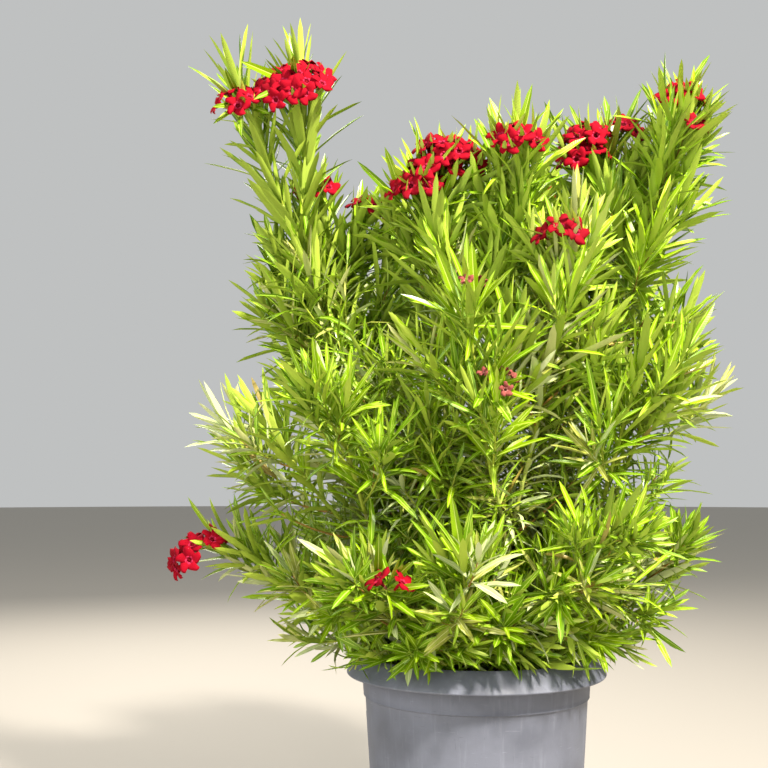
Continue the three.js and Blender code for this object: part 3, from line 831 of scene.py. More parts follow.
class Tubes:
    """Tapering stems that are joined into one mesh."""

    def __init__(self, sides: int) -> None:
        """Starts an empty set of stems with so many sides."""
        self.sides = sides
        self.points: list[Vector] = []
        self.faces: list[list[int]] = []
        self.slots: list[int] = []

    def add(self, limb: Limb, wood: Wood) -> None:
        """Adds a closed tube along a limb.

        Args:
            limb: The stem.
            wood: Its kind, which picks the material slot.
        """
        side = square_to(limb.at(0.0).direction)
        base = len(self.points)
        last = len(limb.points) - 1
        for i, (point, radius) in enumerate(zip(limb.points, limb.radii)):
            along = (limb.points[min(i + 1, last)] - limb.points[max(i - 1, 0)]).normalized()
            side = (side - along * side.dot(along)).normalized()
            across = along.cross(side)
            for k in range(self.sides):
                angle = k * math.tau / self.sides
                self.points.append(point + (side * math.cos(angle) + across * math.sin(angle)) * radius)
        for i in range(last):
            for k in range(self.sides):
                a = base + i * self.sides + k
                b = base + i * self.sides + (k + 1) % self.sides
                self.faces.append([a, b, b + self.sides, a + self.sides])
        foot = list(range(base, base + self.sides))
        self.faces.append(foot[::-1])
        self.faces.append([k + last * self.sides for k in foot])
        self.slots.extend([wood.value] * (last * self.sides + 2))

    def mesh(self) -> Mesh:
        """All of the stems as one mesh."""
        mesh = bpy.data.meshes.new("stems")
        mesh.from_pydata(self.points, [], self.faces, shade_flat=False)
        mesh.polygons.foreach_set("material_index", self.slots)
        return mesh


# The pot and what fills it
@dataclass(frozen=True)
class Pot:
    """A round nursery pot with a turned-over collar, a ledge under it and two mould lines."""

    height: float = 440 * MM
    wall: float = 4 * MM
    base_thickness: float = 6 * MM
    base_radius: float = 168 * MM
    foot_rounding: float = 8 * MM
    foot_steps: int = 6
    neck_radius: float = 198 * MM
    neck_rounding: float = 2 * MM
    collar_radius: float = 225 * MM
    collar_drop: float = 34 * MM
    ledge_height: float = 368 * MM
    ledge_depth: float = 3 * MM
    ledge_rounding: float = 1 * MM
    ledge_flat: float = 8 * MM
    outer_heights: tuple[float, ...] = (60 * MM, 120 * MM, 180 * MM, 240 * MM, 300 * MM, 350 * MM)
    inner_heights: tuple[float, ...] = (390 * MM, 372 * MM, 364 * MM, 200 * MM)
    inner_lip: float = 12 * MM
    drain_holes: int = 6
    drain_radius: float = 11 * MM
    drain_ring: float = 118 * MM
    drain_sides: int = 20
    lip_radius: float = 2.6 * MM
    lip_start: float = 0.75
    lip_steps: int = 6
    edge_radius: float = 2.2 * MM
    edge_step: float = 1 * MM
    edge_turn: Pair = (-100, 35)
    edge_steps: int = 5
    skirt_bulge: float = 0.5 * MM
    skirt_side: Pair = (0.75, 0.65)
    skirt_steps: int = 5
    wobble: float = 0.8 * MM
    wobble_scale: float = 7.0
    seam_width: float = 2.4 * MM
    seam_height: float = 0.5 * MM
    seam_sunk: float = 0.4 * MM
    seam_crest: float = 0.4
    seam_heights: range = range(14, 364, 25)
    sharp_angle: float = 38
    turns: int = 112
    finish: Polyethylene = field(default_factory=Polyethylene)

    @property
    def collar_edge(self) -> float:
        """Height of the collar's lower edge."""
        return self.height - self.collar_drop

    def wall_radius(self, height: float) -> float:
        """Outer radius of the wall at a height under the collar."""
        ledge = self.ledge_depth if height < self.ledge_height else 0.0
        foot = self.base_radius + self.ledge_depth
        return foot + (self.neck_radius - foot) * height / self.collar_edge - ledge

    @staticmethod
    def arc(centre: Pair, radius: float, start: float, end: float, steps: int) -> list[Vector]:
        """Points of an arc in the profile.

        Args:
            centre: Its middle, as radius and height.
            radius: Its own radius.
            start: Where it starts, in degrees.
            end: Where it ends, in degrees.
            steps: How many pieces it has.

        Returns:
            The points, as (radius, 0, height).
        """
        angles = [math.radians(start + (end - start) * i / steps) for i in range(steps + 1)]
        middle = in_section(*centre)
        return [middle + in_section(math.cos(a), math.sin(a)) * radius for a in angles]

    def profile(self) -> list[Vector]:
        """The wall's section, from the axis underneath, up the outside, over the lip and down the inside."""
        foot, bead = self.foot_rounding, self.ledge_rounding
        points = [in_section(0.0, 0.0), in_section(self.drain_ring, 0.0)]
        points += self.arc((self.wall_radius(0.0) - foot, foot), foot, -90, 0, self.foot_steps)
        points += [in_section(self.wall_radius(h), h) for h in self.outer_heights]
        ledge = self.ledge_height
        points += self.arc((self.wall_radius(ledge - 2 * bead) + bead, ledge - bead), bead, 180, 90, 2)
        ledge += self.ledge_depth
        points += self.arc((self.wall_radius(ledge) - bead, ledge - bead), bead, 0, 90, 2)[:2]
        ledge += self.ledge_flat
        points += [in_section(self.wall_radius(ledge), ledge)]
        points += [in_section(self.wall_radius(self.collar_edge), self.collar_edge)]
        points += self.collar()
        points += [in_section(self.wall_radius(h) - self.wall, h) for h in self.inner_heights]
        points += [in_section(self.wall_radius(self.base_thickness) - self.wall, self.base_thickness)]
        points += [in_section(0.0, self.base_thickness)]
        return points

    def collar(self) -> list[Vector]:
        """The collar's section, from its root inside the fold, round its lower edge and over the lip."""
        inner = self.neck_radius - self.wall
        fold = self.height - 3 * self.wall
        points = [in_section(self.neck_radius, fold)]
        points += self.arc((self.neck_radius + self.neck_rounding, fold), self.neck_rounding, 180, 60, 3)
        edge = (self.collar_radius - self.edge_radius, self.collar_edge + self.edge_radius)
        points += [in_section(self.collar_radius - self.wall, self.collar_edge + self.edge_step)]
        points += self.arc(edge, self.edge_radius, *self.edge_turn, self.edge_steps)
        lip = (inner + self.lip_radius, self.height - self.lip_radius)
        start = in_section(math.cos(self.lip_start), math.sin(self.lip_start))
        outer = in_section(*lip) + start * self.lip_radius
        lower = points[-1]
        for i in range(1, self.skirt_steps):
            share = i / self.skirt_steps
            bulge = in_section(*self.skirt_side) * self.skirt_bulge * math.sin(math.pi * share)
            points.append(lower.lerp(outer, share) + bulge)
        points += self.arc(lip, self.lip_radius, math.degrees(self.lip_start), 180, self.lip_steps)
        points += [in_section(inner, self.height - self.inner_lip)]
        return points

    def swing(self, place: Vector) -> float:
        """How far the wall stands out of round at a place."""
        return noise.noise(Vector((place.x, place.y, place.z * 0.5)) * self.wobble_scale) * self.wobble

    def shell(self) -> BMesh:
        """The wall spun from its section, a little out of round."""
        bm = spun(self.profile(), self.turns)
        for vert in bm.verts:
            out = vert.co.xy.length
            swing = self.swing(vert.co)
            if out > self.drain_ring and vert.co.z > self.foot_rounding:
                vert.co.xy *= 1 + swing / out
        smoothed(bm)
        return bm

    def add_seams(self, bm: BMesh) -> None:
        """Adds the mould's two parting lines, as low ridges down the wall."""
        half = Vector((0.0, self.seam_width / 2, 0.0))
        for side in (-1, 1):
            out = Vector((side * (self.seam_height + self.seam_sunk), 0.0, 0.0))
            rings = []
            for height in self.seam_heights:
                radius = self.wall_radius(height * MM) - self.seam_sunk
                middle = Vector((side * radius, 0.0, height * MM))
                middle.x *= 1 + self.swing(middle) / radius
                crest = half * self.seam_crest
                rings.append([middle - half, middle + half, middle + crest + out, middle - crest + out])
            add_skin(bm, rings)

    def build(self) -> Object:
        """The finished pot, with its drain holes cut."""
        bm = self.shell()
        for turn in circle(self.drain_holes):
            self.cut_hole(bm, Vector((math.cos(turn), math.sin(turn), 0.0)) * self.drain_ring)
        self.add_seams(bm)
        mesh = as_mesh(bm)
        mesh.set_sharp_from_angle(angle=math.radians(self.sharp_angle))
        return settle(in_scene("nursery_pot", mesh, [self.finish.material()]), ["pot"])

    def cut_hole(self, bm: BMesh, middle: Vector) -> None:
        """Cuts one drain hole through the base with a Boolean, in place.

        Args:
            bm: The pot's mesh, which is read again from the cut result.
            middle: The hole's middle on the underside.
        """
        whole = bpy.data.meshes.new("whole")
        bm.to_mesh(whole)
        target = in_scene("whole", whole, [])
        rod = bmesh.new()
        bmesh.ops.create_cone(
            rod, cap_ends=True, segments=self.drain_sides, depth=4 * self.base_thickness,
            radius1=self.drain_radius, radius2=self.drain_radius, matrix=Matrix.Translation(middle),
        )
        drill = in_scene("drill", as_mesh(rod), [])
        cut = target.modifiers.new("cut", "BOOLEAN")
        cut.object = drill
        cut.operation = "DIFFERENCE"
        cut.solver = "EXACT"
        result = target.evaluated_get(bpy.context.evaluated_depsgraph_get())
        bm.clear()
        bm.from_mesh(result.to_mesh())
        result.to_mesh_clear()
        for piece in (target, drill):
            mesh = piece.data
            bpy.data.objects.remove(piece)
            bpy.data.meshes.remove(mesh)


@dataclass(frozen=True)
class PottingMix:
    """The composted bark that fills the pot to a little under its mouth."""

    height: float = GROWTH.soil_height
    radius: float = 189 * MM
    edge_drop: float = 8 * MM
    foot_radius: float = 163 * MM
    foot_height: float = 6.4 * MM
    sunk: float = 1.5 * MM
    relief: float = 3 * MM
    swells: tuple[Pair, ...] = ((14.0, 1.0), (60.0, 0.5), (170.0, 0.35))
    ring_count: int = 26
    turns: int = 80
    chips: int = 420
    chip_size: float = 11 * MM
    smallest_chip: float = 0.35
    chip_shape: tuple[float, float, float] = (1.0, 0.55, 0.3)
    chip_lift: float = 0.08
    chip_tilt: float = 0.4
    chip_break: float = 0.14
    seed: int = 7
    finish: PottingBark = field(default_factory=PottingBark)

    def top_at(self, x: float, y: float) -> float:
        """Height of the uneven top at a place."""
        place = Vector((x, y, 0.0))
        swell = sum(share * noise.noise(place * scale) for scale, share in self.swells)
        return self.height - self.sunk + self.relief * swell

    def build(self) -> Object:
        """The filling, with loose bits of bark on its top."""
        section = [in_section(0.0, self.foot_height), in_section(self.foot_radius, self.foot_height)]
        section += [in_section(self.radius, self.height - self.edge_drop)]
        for i in range(self.ring_count + 1):
            section.append(in_section(self.radius * (1 - i / self.ring_count), self.height))
        bm = spun(section, self.turns)
        for vert in bm.verts:
            if vert.co.z > self.height - MM:
                vert.co.z = self.top_at(vert.co.x, vert.co.y)
        self.add_chips(bm)
        return settle(in_scene("potting_mix", as_mesh(bm), [self.finish.material()]), ["soil"])

    def add_chips(self, bm: BMesh) -> None:
        """Strews bits of bark over the top, each a broken block."""
        number = random.Random(self.seed)
        long, wide, thick = self.chip_shape
        for _ in range(self.chips):
            out = (self.radius - self.edge_drop) * math.sqrt(number.random())
            turn = number.random() * math.tau
            x, y = out * math.cos(turn), out * math.sin(turn)
            size = self.chip_size * (self.smallest_chip + (1 - self.smallest_chip) * number.random())
            shape = Matrix.Diagonal((size * long, size * wide, size * thick, 1.0))
            lean = Matrix.Rotation(number.uniform(-self.chip_tilt, self.chip_tilt), 4, "X")
            tilt = lean @ Matrix.Rotation(number.random() * math.pi, 4, "Z")
            place = Matrix.Translation((x, y, self.top_at(x, y) + size * self.chip_lift)) @ tilt @ shape
            made = bmesh.ops.create_cube(bm, size=1.0, matrix=place)["verts"]
            for vert in made:
                crumble = self.chip_break
                vert.co += Vector(number.uniform(-crumble, crumble) * size for _ in range(3))


# Canes and boughs
@dataclass(frozen=True)
class CaneSkin:
    """How a cane's outside is modelled over its plain taper."""

    sides: int = 14
    ring_step: float = 6 * MM
    flare_fall: float = 17 * MM
    flare_lobes: int = 3
    lobe_depth: float = 0.25
    lobe_drift: float = 40
    fork_spread: float = 13 * MM
    node_spacing: float = 34 * MM
    node_width: float = 3 * MM
    node_swell: float = 0.45 * MM
    scars: int = 3
    scar_swell: float = 1.1 * MM
    scar_turn: float = 60
    scar_sharpness: int = 4
    unevenness: float = 0.07
    lump_scale: float = 55
    lump_turn: float = 0.8
    sunk: float = 14 * MM
    sunk_share: float = 0.7
    bough_youth: float = 0.45

    def radius(self, limb: Limb, share: float, angle: float, forked: bool) -> float:
        """The skin's distance from the limb's middle.

        Args:
            limb: The cane or bough.
            share: The place along it.
            angle: The side, in radians.
            forked: True on a cane, which flares at its foot and swells at its fork.

        Returns:
            The distance in metres.
        """
        spot = limb.at(share)
        along = share * limb.length
        radius = spot.radius
        if forked:
            wave = math.sin(self.flare_lobes * angle + limb.length * self.lobe_drift)
            flare = GROWTH.flare_radius - GROWTH.cane_foot_radius
            lobes = 1 - self.lobe_depth + self.lobe_depth * wave
            radius += flare * math.exp(-along / self.flare_fall) * lobes
            left = (limb.length - along) / self.fork_spread
            radius += (GROWTH.fork_radius - GROWTH.cane_tip_radius) * math.exp(-left * left)
        beat = (along / self.node_spacing) % 1.0
        near = math.exp(-(((beat - 0.5) * self.node_spacing) / self.node_width) ** 2)
        turn = self.scar_turn * (int(along / self.node_spacing) % 2)
        facing = max(0.0, math.cos(self.scars * (angle - math.radians(turn))))
        size = min(1.0, spot.radius / GROWTH.cane_tip_radius)
        radius += near * (self.node_swell + self.scar_swell * facing ** self.scar_sharpness) * size
        side = Vector((math.cos(angle), math.sin(angle), 0.0))
        lumps = noise.noise(spot.point * self.lump_scale + side * self.lump_turn)
        return radius * (1 + self.unevenness * lumps)

    def add(self, bm: BMesh, limb: Limb, ages: Pair, forked: bool) -> None:
        """Adds one limb's skin.

        Args:
            bm: The mesh to add to.
            limb: The cane or bough.
            ages: How young its bark is at the foot and at the tip, from 0 to 1.
            forked: True on a cane.
        """
        age = bm.verts.layers.float.get("age") or bm.verts.layers.float.new("age")
        steps = max(4, round(limb.length / self.ring_step))
        side = square_to(limb.at(0.0).direction)
        rings = []
        for i in range(steps + 1):
            share = i / steps
            spot = limb.at(share)
            side = (side - spot.direction * side.dot(spot.direction)).normalized()
            across = spot.direction.cross(side)
            ring = []
            for angle in circle(self.sides):
                reach = self.radius(limb, share, angle, forked)
                ring.append(spot.point + (side * math.cos(angle) + across * math.sin(angle)) * reach)
            rings.append(ring)
        foot_age, tip_age = ages
        for i, vert in enumerate(add_skin(bm, rings)):
            share = (i // self.sides) / steps
            vert[age] = foot_age + (tip_age - foot_age) * share


@dataclass(frozen=True)
class Clump:
    """The canes that rise from one root, each with its two boughs."""

    skin: CaneSkin = field(default_factory=CaneSkin)
    finish: CaneBark = field(default_factory=CaneBark)

    def build(self) -> list[Object]:
        """One piece of bark for each cane."""
        bark = self.finish.material()
        pieces = []
        skin = self.skin
        for plan in CANES:
            bm = bmesh.new()
            cane = plan.limb()
            skin.add(bm, cane, (0.0, plan.youth), True)
            nodes = [f"cane_{plan.name}"]
            end = cane.at(1.0)
            for suffix, bough, _ in plan.boughs():
                rooted = Limb(
                    [end.point - end.direction * skin.sunk] + bough.points,
                    [GROWTH.cane_tip_radius * skin.sunk_share] + bough.radii,
                )
                skin.add(bm, rooted, (plan.youth, min(1.0, plan.youth + skin.bough_youth)), False)
                nodes.append(f"bough_{plan.name}_{suffix}")
            smoothed(bm)
            pieces.append(settle(in_scene(f"bark_{plan.name}", as_mesh(bm), [bark]), nodes))
        return pieces


# Leaves
class Tint(Enum):
    """The colour of a spray's leaves, from the newest growth to dry ones.

    The pale tint is a painted whitish sheen of sunlit glossy leaves, and the dull one the muted grey-green of
    older inner leaves, lifted paler as painted light in the crown's shaded heart.
    """

    YOUNG = 0
    FRESH = 1
    GROWN = 2
    DEEP = 3
    DULL = 4
    PALE = 5
    FADED = 6


@dataclass(frozen=True)
class LeafColours:
    """The colours of one tint, and the roughness of its upper face."""

    upper: str
    midrib: str
    under: str
    roughness: float


LEAF_COLOURS = {
    Tint.YOUNG: LeafColours("92bc20", "d8ea84", "bcd260", 0.38),
    Tint.FRESH: LeafColours("94b810", "d2e470", "b6cc4c", 0.36),
    Tint.GROWN: LeafColours("86a808", "cadc66", "acc244", 0.34),
    Tint.DEEP: LeafColours("6c9208", "bcd05c", "9ab03e", 0.33),
    # Dull: muted grey-green of older inner leaves, lifted paler as painted light in the shaded heart.
    Tint.DULL: LeafColours("a4aa48", "d4d68c", "c8cc86", 0.42),
    # A painted whitish sheen of sunlit glossy leaves.
    Tint.PALE: LeafColours("b6c484", "dce0b0", "c8d09c", 0.42),
    Tint.FADED: LeafColours("b09c48", "cfb866", "b09c58", 0.6),
}


@dataclass(frozen=True)
class Leaf:
    """One leaf: where it grows, how it lies and how it is bent and twisted, in radians."""

    foot: Vector
    direction: Vector
    across: Vector
    length: float
    slimness: float
    bend: float
    twist: float
    tint: Tint

    def along(self, share: float) -> Vector:
        """A point of its midrib."""
        face = self.across.cross(self.direction)
        if abs(self.bend) <= STRAIGHT:
            return self.foot + self.direction * share * self.length
        angle = self.bend * share
        ahead = math.sin(angle) / self.bend
        drop = (1 - math.cos(angle)) / self.bend
        return self.foot + (self.direction * ahead - face * drop) * self.length


class LeafFace(Enum):
    """The parts of a leaf's skin, in the order of its materials."""

    UPPER = 0
    MIDRIB = 1
    UNDER = 2


@dataclass(frozen=True)
class LeafBlade:
    """The narrow leaf's own outline and section, in shares of its length and half width."""

    stations: tuple[Pair, ...] = ((0.0, 0.12), (0.2, 0.76), (0.52, 1.0), (0.84, 0.68))
    fold: float = 0.26
    midrib: float = 0.14
    midrib_fall: float = 0.6
    stalk_rib: float = 0.05
    keel: float = 0.2
    keel_fall: float = 0.55

    def pattern(self) -> Pattern:
        """The leaf along +Y from 0 to 1, two half widths across X, its upper face towards +Z."""
        bm = bmesh.new()
        rings = []
        for along, width in self.stations:
            rib = self.midrib * (1 - self.midrib_fall * along) + (0.0 if along else self.stalk_rib)
            keel = self.keel * (1 - self.keel_fall * along)
            ring = [Vector((x, along, self.fold * abs(x))) for x in (-width, -rib, rib, width)]
            rings.append(ring + [Vector((0.0, along, -keel))])
        rings.append([Vector((0.0, 1.0, 0.0))] * 5)
        loft(bm, rings)
        bmesh.ops.remove_doubles(bm, verts=bm.verts, dist=1e-5)
        bmesh.ops.recalc_face_normals(bm, faces=bm.faces)
        for face in bm.faces:
            middle = face.calc_center_median()
            if face.normal.z <= 0:
                part = LeafFace.UNDER
            else:
                part = LeafFace.MIDRIB if abs(middle.x) < self.midrib * 0.4 else LeafFace.UPPER
            face.material_index = part.value
        smoothed(bm)
        for edge in bm.edges:
            edge.smooth = len({face.material_index for face in edge.link_faces}) == 1
        return Pattern(bm, lambda p: (p.x, p.y))

    def placed(self, pattern: Pattern, leaves: Sequence[Leaf]) -> np.ndarray:
        """The vertices of each leaf, bent and twisted into place.

        Args:
            pattern: The leaf pattern.
            leaves: The leaves to place.

        Returns:
            Places by leaf, vertex and axis.
        """
        def rows(values: list) -> np.ndarray:
            """One row for each leaf."""
            return np.array(values, float)[:, None]

        x, y, z = (pattern.points[None, :, k].astype(float) for k in range(3))
        length, slimness, bend, twist = (
            rows([getattr(leaf, key) for leaf in leaves]) for key in ("length", "slimness", "bend", "twist")
        )
        foot, ahead, across = (
            rows([tuple(getattr(leaf, key)) for leaf in leaves]) for key in ("foot", "direction", "across")
        )
        face = np.cross(across, ahead)
        bend = np.where(np.abs(bend) < STRAIGHT, STRAIGHT, bend)
        angle = bend * y
        reach = (np.sin(angle) / bend * length)[..., None] * ahead
        drop = ((1 - np.cos(angle)) / bend * length)[..., None] * face
        middle = foot + reach - drop
        lifted = np.sin(angle)[..., None] * ahead + np.cos(angle)[..., None] * face
        roll = twist * y
        side = np.cos(roll)[..., None] * across + np.sin(roll)[..., None] * lifted
        top = np.cos(roll)[..., None] * lifted - np.sin(roll)[..., None] * across
        half = length * slimness
        return middle + (half * x)[..., None] * side + (half * z)[..., None] * top


# Blossom
class Bloom(Enum):
    """The state of one flower."""

    FRESH = 0
    DEEP = 1
    SPENT = 2


@dataclass(frozen=True)
class BloomColours:
    """The colours of one state.

    The fringe's paler pink is partly the flower's own pale streaks and partly a painted highlight, and the
    throat's deeper red partly the tube's own colour and partly painted shade in the flower's hollow.
    """

    petal: str
    fringe: str
    throat: str
    calyx: str


BLOOM_COLOURS = {
    Bloom.FRESH: BloomColours("98021b", "b4284a", "700412", "8a5a38"),
    Bloom.DEEP: BloomColours("860418", "a01c3c", "58020c", "7d4a34"),
    Bloom.SPENT: BloomColours("8c4a44", "b07870", "6b3a2c", "7a6038"),
}


class FlowerPart(Enum):
    """The parts of a flower, in the order of its materials."""

    PETAL = 0
    FRINGE = 1
    THROAT = 2
    CALYX = 3


@dataclass(frozen=True)
class Flower:
    """A five-petalled funnel flower that turns like a pinwheel.

    Angles are in radians. A petal widens from its claw along part of half a sine wave, the belly, is blunt
    and a little lopsided, arches up and falls back, and has a ruffled rim with its leading side pitched up.
    The stations of the tube and the calyx are (share of the tube's length, radius in millimetres).
    """

    petals: int = 5
    radius: float = 24 * MM
    throat: float = 4.2 * MM
    petal_width: float = 11.6 * MM
    claw: float = 0.3
    belly: Pair = (0.08, 0.78)
    fullness: float = 0.8
    blunting: float = 0.14
    lopsided: float = 0.13
    overlap: float = 0.95
    skew: float = 0.42
    rise: float = 6 * MM
    arch: float = 0.62
    fall: float = 1.2 * MM
    ruffle: float = 2.6 * MM
    ruffle_turns: float = 4
    ruffle_start: float = 1.2
    pitch: float = 3.0 * MM
    thickness: float = 0.5 * MM
    fringe: float = 0.42
    tube: float = 17 * MM
    tube_stations: tuple[Pair, ...] = ((0.0, 1.3), (0.35, 1.8), (0.7, 3.2), (1.0, 4.9))
    calyx_stations: tuple[Pair, ...] = ((-0.04, 0.9), (0.06, 2.3), (0.2, 2.5), (0.34, 2.0))
    sides: int = 8

    def petal_point(self, u: float, v: float, size: float) -> Vector:
        """A point of the petal that leaves the throat along +X.

        Args:
            u: Across it, from -1 to 1.
            v: Along it, from 0 to 1.
            size: A smaller petal has less than 1.

        Returns:
            The point, with the flower's face towards +Z.
        """
        first, run = self.belly
        full = math.sin(math.pi * min(1.0, first + run * v)) ** self.fullness
        width = self.petal_width * size * (self.claw + (1 - self.claw) * full)
        blunt = 1 - self.blunting * u * u + self.lopsided * u * v
        reach = self.throat + (self.radius * size - self.throat) * v * blunt
        turn = self.skew * v * v + u * width / max(reach, self.throat) * self.overlap
        cup = self.rise * math.sin(math.pi * self.arch * v) - self.fall * v * v
        wave = math.sin(self.ruffle_turns * u + self.ruffle_start)
        ruffle = self.ruffle * v * wave + self.pitch * u * v
        return Vector((reach * math.cos(turn), reach * math.sin(turn), (cup + ruffle) * size))

    def add_petal(
        self, bm: BMesh, turn: float, size: float, cells: tuple[int, int], part: FlowerPart
    ) -> None:
        """Adds one petal as a thin closed sheet.

        Args:
            bm: The flower's mesh.
            turn: Degrees round the flower.
            size: Its size, 1 for a full petal.
            cells: Cells across and along.
            part: What it is, for its material.
        """
        before = set(bm.faces)
        made = bmesh.ops.create_grid(bm, x_segments=cells[0], y_segments=cells[1], size=1.0)["verts"]
        for vert in made:
            vert.co = self.petal_point(vert.co.x, (vert.co.y + 1) / 2, size)
        turned = Matrix.Rotation(math.radians(turn), 3, "Z")
        bmesh.ops.rotate(bm, verts=made, cent=(0, 0, 0), matrix=turned)
        sheet = [face for face in bm.faces if face not in before]
        bmesh.ops.solidify(bm, geom=sheet, thickness=self.thickness)
        fresh = [face for face in bm.faces if face not in before]
        bmesh.ops.recalc_face_normals(bm, faces=fresh)
        for face in fresh:
            face.material_index = part.value

    def pattern(self) -> Pattern:
        """The whole flower, its face towards +Z and the foot of its tube at the origin."""
        bm = bmesh.new()
        step = 360 / self.petals
        for i in range(self.petals):
            self.add_petal(bm, i * step, 1.0, (4, 5), FlowerPart.PETAL)
            self.add_petal(bm, (i + 0.5) * step, self.fringe, (2, 2), FlowerPart.FRINGE)
        bmesh.ops.translate(bm, verts=bm.verts, vec=(0, 0, self.tube))
        for stations, part in (
            (self.tube_stations, FlowerPart.THROAT), (self.calyx_stations, FlowerPart.CALYX),
        ):
            turns = circle(self.sides)
            add_skin(bm, [
                [Vector((math.cos(a) * r * MM, math.sin(a) * r * MM, self.tube * h)) for a in turns]
                for h, r in stations
            ], part.value)
        smoothed(bm)
        return Pattern(bm)


@dataclass(frozen=True)
class Bud:
    """A pointed bud, its petals rolled round each other. Its stations are (height, radius) in millimetres."""

    stations: tuple[Pair, ...] = (
        (0.0, 1.1), (2.5, 1.9), (6.0, 1.7), (11.0, 2.7), (15.0, 2.0), (19.5, 0.25),
    )
    twist: float = 0.09
    rolls: int = 5
    roll_depth: float = 0.16
    calyx: float = 4 * MM
    sides: int = 10

    def pattern(self) -> Pattern:
        """The bud along +Z, with its foot at the origin."""
        bm = bmesh.new()
        rings = []
        for height, radius in self.stations:
            ring = []
            for angle in circle(self.sides):
                turned = angle + height * self.twist
                side = Vector((math.cos(turned), math.sin(turned), 0.0))
                roll = 1 + self.roll_depth * math.cos(self.rolls * angle)
                ring.append(side * radius * MM * roll + UP * height * MM)
            rings.append(ring)
        add_skin(bm, rings)
        smoothed(bm)
        for face in bm.faces:
            low = face.calc_center_median().z < self.calyx
            face.material_index = (FlowerPart.CALYX if low else FlowerPart.PETAL).value
        return Pattern(bm)


@dataclass(frozen=True)
class Head:
    """A flower head, in millimetres.

    It is right, up and front of its shoot's tip, has half this width, and its stalk leaves at a share.
    """

    shoot: str
    right: float
    up: float
    flowers: int
    buds: int
    width: float = 48
    bloom: Bloom = Bloom.FRESH
    share: float = 0.8
    front: float = 25


HEADS = (
    Head("left_tall_b", -14, -36, 20, 2, 84, front=48),
    Head("left_tall_a", 8, -44, 5, 7, 42, front=50),
    Head("left_back_a", -16, 82, 6, 3, 34, share=0.9),
    Head("left_back_a", 88, 34, 5, 3, 32, share=0.6, front=70),
    Head("centre_a", -6, 34, 11, 3, 52, share=0.9, front=45),
    Head("centre_a", 18, 62, 8, 2, 44, share=0.85, front=48),
    Head("centre_a", 44, 90, 14, 3, 58, share=0.75, front=45),
    Head("centre_b", 4, 28, 8, 7, 42, share=0.9, front=45),
    Head("back_b", 0, 76, 2, 6, 26, Bloom.DEEP, share=0.95),
    Head("right_tall_a", -56, 26, 8, 1, 44, share=0.7, front=50),
    Head("right_tall_a", -50, 62, 9, 4, 44, share=0.8, front=45),
    Head("right_tall_a", 22, 80, 5, 4, 32, share=0.9),
    Head("right_tall_b", 0, 72, 7, 2, 36, share=0.95),
    Head("right_tall_b", 16, 14, 2, 6, 26, Bloom.DEEP, share=0.8),
    Head("right_back_a", 0, 40, 4, 3, 36, Bloom.DEEP, share=0.9),
    Head("front_b", -32, -8, 4, 1, 26, Bloom.DEEP, share=0.8),
    Head("front_a", 40, -110, 4, 1, 22, Bloom.SPENT, share=0.5),
    Head("front_a", -4, 40, 2, 2, 20, Bloom.SPENT, share=0.9),
    Head("skirt_left", -98, 12, 8, 2, 46, share=0.9),
    Head("skirt_left_front", 54, -14, 2, 1, 16, share=0.7, front=52),
)


# The rules of growth
@dataclass(frozen=True)
class Leafing:
    """How a stem bears its whorls of leaves, in metres and degrees.

    They begin at a share of the stem. Slimness is half a width in shares of the length, and droop in radians.
    """

    start: float
    spacing: float
    length: float
    slimness: float
    open_foot: float
    open_tip: float
    droop: float


@dataclass(frozen=True)
class Branching:
    """How a stem bears its twigs, in metres and degrees, between two shares of its length.

    Reach is the length of the lowest, and rise how far a twig turns upwards against one part along itself.
    """

    habit: "Habit"
    spacing: float
    start: float
    stop: float
    reach: float
    open_foot: float
    open_tip: float
    rise: float


@dataclass(frozen=True)
class Habit:
    """How a leafy stem grows: its leaves, and its twigs where it has some."""

    leafing: Leafing
    branching: Branching | None = None


FINE_TWIG = Habit(Leafing(0.25, 13 * MM, 86 * MM, 0.056, 54, 16, 0.4))
TALL_TWIG = Habit(Leafing(0.1, 18 * MM, 106 * MM, 0.056, 48, 16, 0.16))
LOW_FINE = Habit(Leafing(0.2, 11 * MM, 60 * MM, 0.072, 56, 20, 0.5))
INNER_TWIG = Habit(Leafing(0.15, 13 * MM, 86 * MM, 0.046, 84, 34, 1.1))
FLOWER_STALK = Habit(Leafing(0.0, 20 * MM, 108 * MM, 0.06, 50, 26, 0.2))
TWIG = Habit(
    Leafing(0.22, 18 * MM, 116 * MM, 0.058, 54, 13, 0.35),
    Branching(FINE_TWIG, 50 * MM, 0.2, 0.8, 84 * MM, 38, 24, 0.3),
)
UPPER_SHOOT = Habit(
    Leafing(0.1, 20 * MM, 134 * MM, 0.066, 54, 12, 0.25),
    Branching(TWIG, 34 * MM, 0.0, 0.9, 190 * MM, 44, 16, 0.35),
)
MIDDLE_TWIG = Habit(
    Leafing(0.22, 17 * MM, 100 * MM, 0.056, 58, 18, 0.5),
    Branching(FINE_TWIG, 50 * MM, 0.2, 0.8, 84 * MM, 40, 26, 0.3),
)
MIDDLE_SHOOT = Habit(
    Leafing(0.1, 20 * MM, 114 * MM, 0.058, 58, 16, 0.45),
    Branching(MIDDLE_TWIG, 35 * MM, 0.0, 0.9, 184 * MM, 46, 20, 0.35),
)
TALL_SHOOT = Habit(
    Leafing(0.0, 23 * MM, 128 * MM, 0.057, 48, 16, 0.14),
    Branching(TALL_TWIG, 62 * MM, 0.1, 0.8, 60 * MM, 24, 14, 0.4),
)
LOW_TWIG = Habit(
    Leafing(0.25, 14 * MM, 80 * MM, 0.064, 52, 18, 0.45),
    Branching(LOW_FINE, 38 * MM, 0.2, 0.8, 55 * MM, 42, 28, 0.3),
)
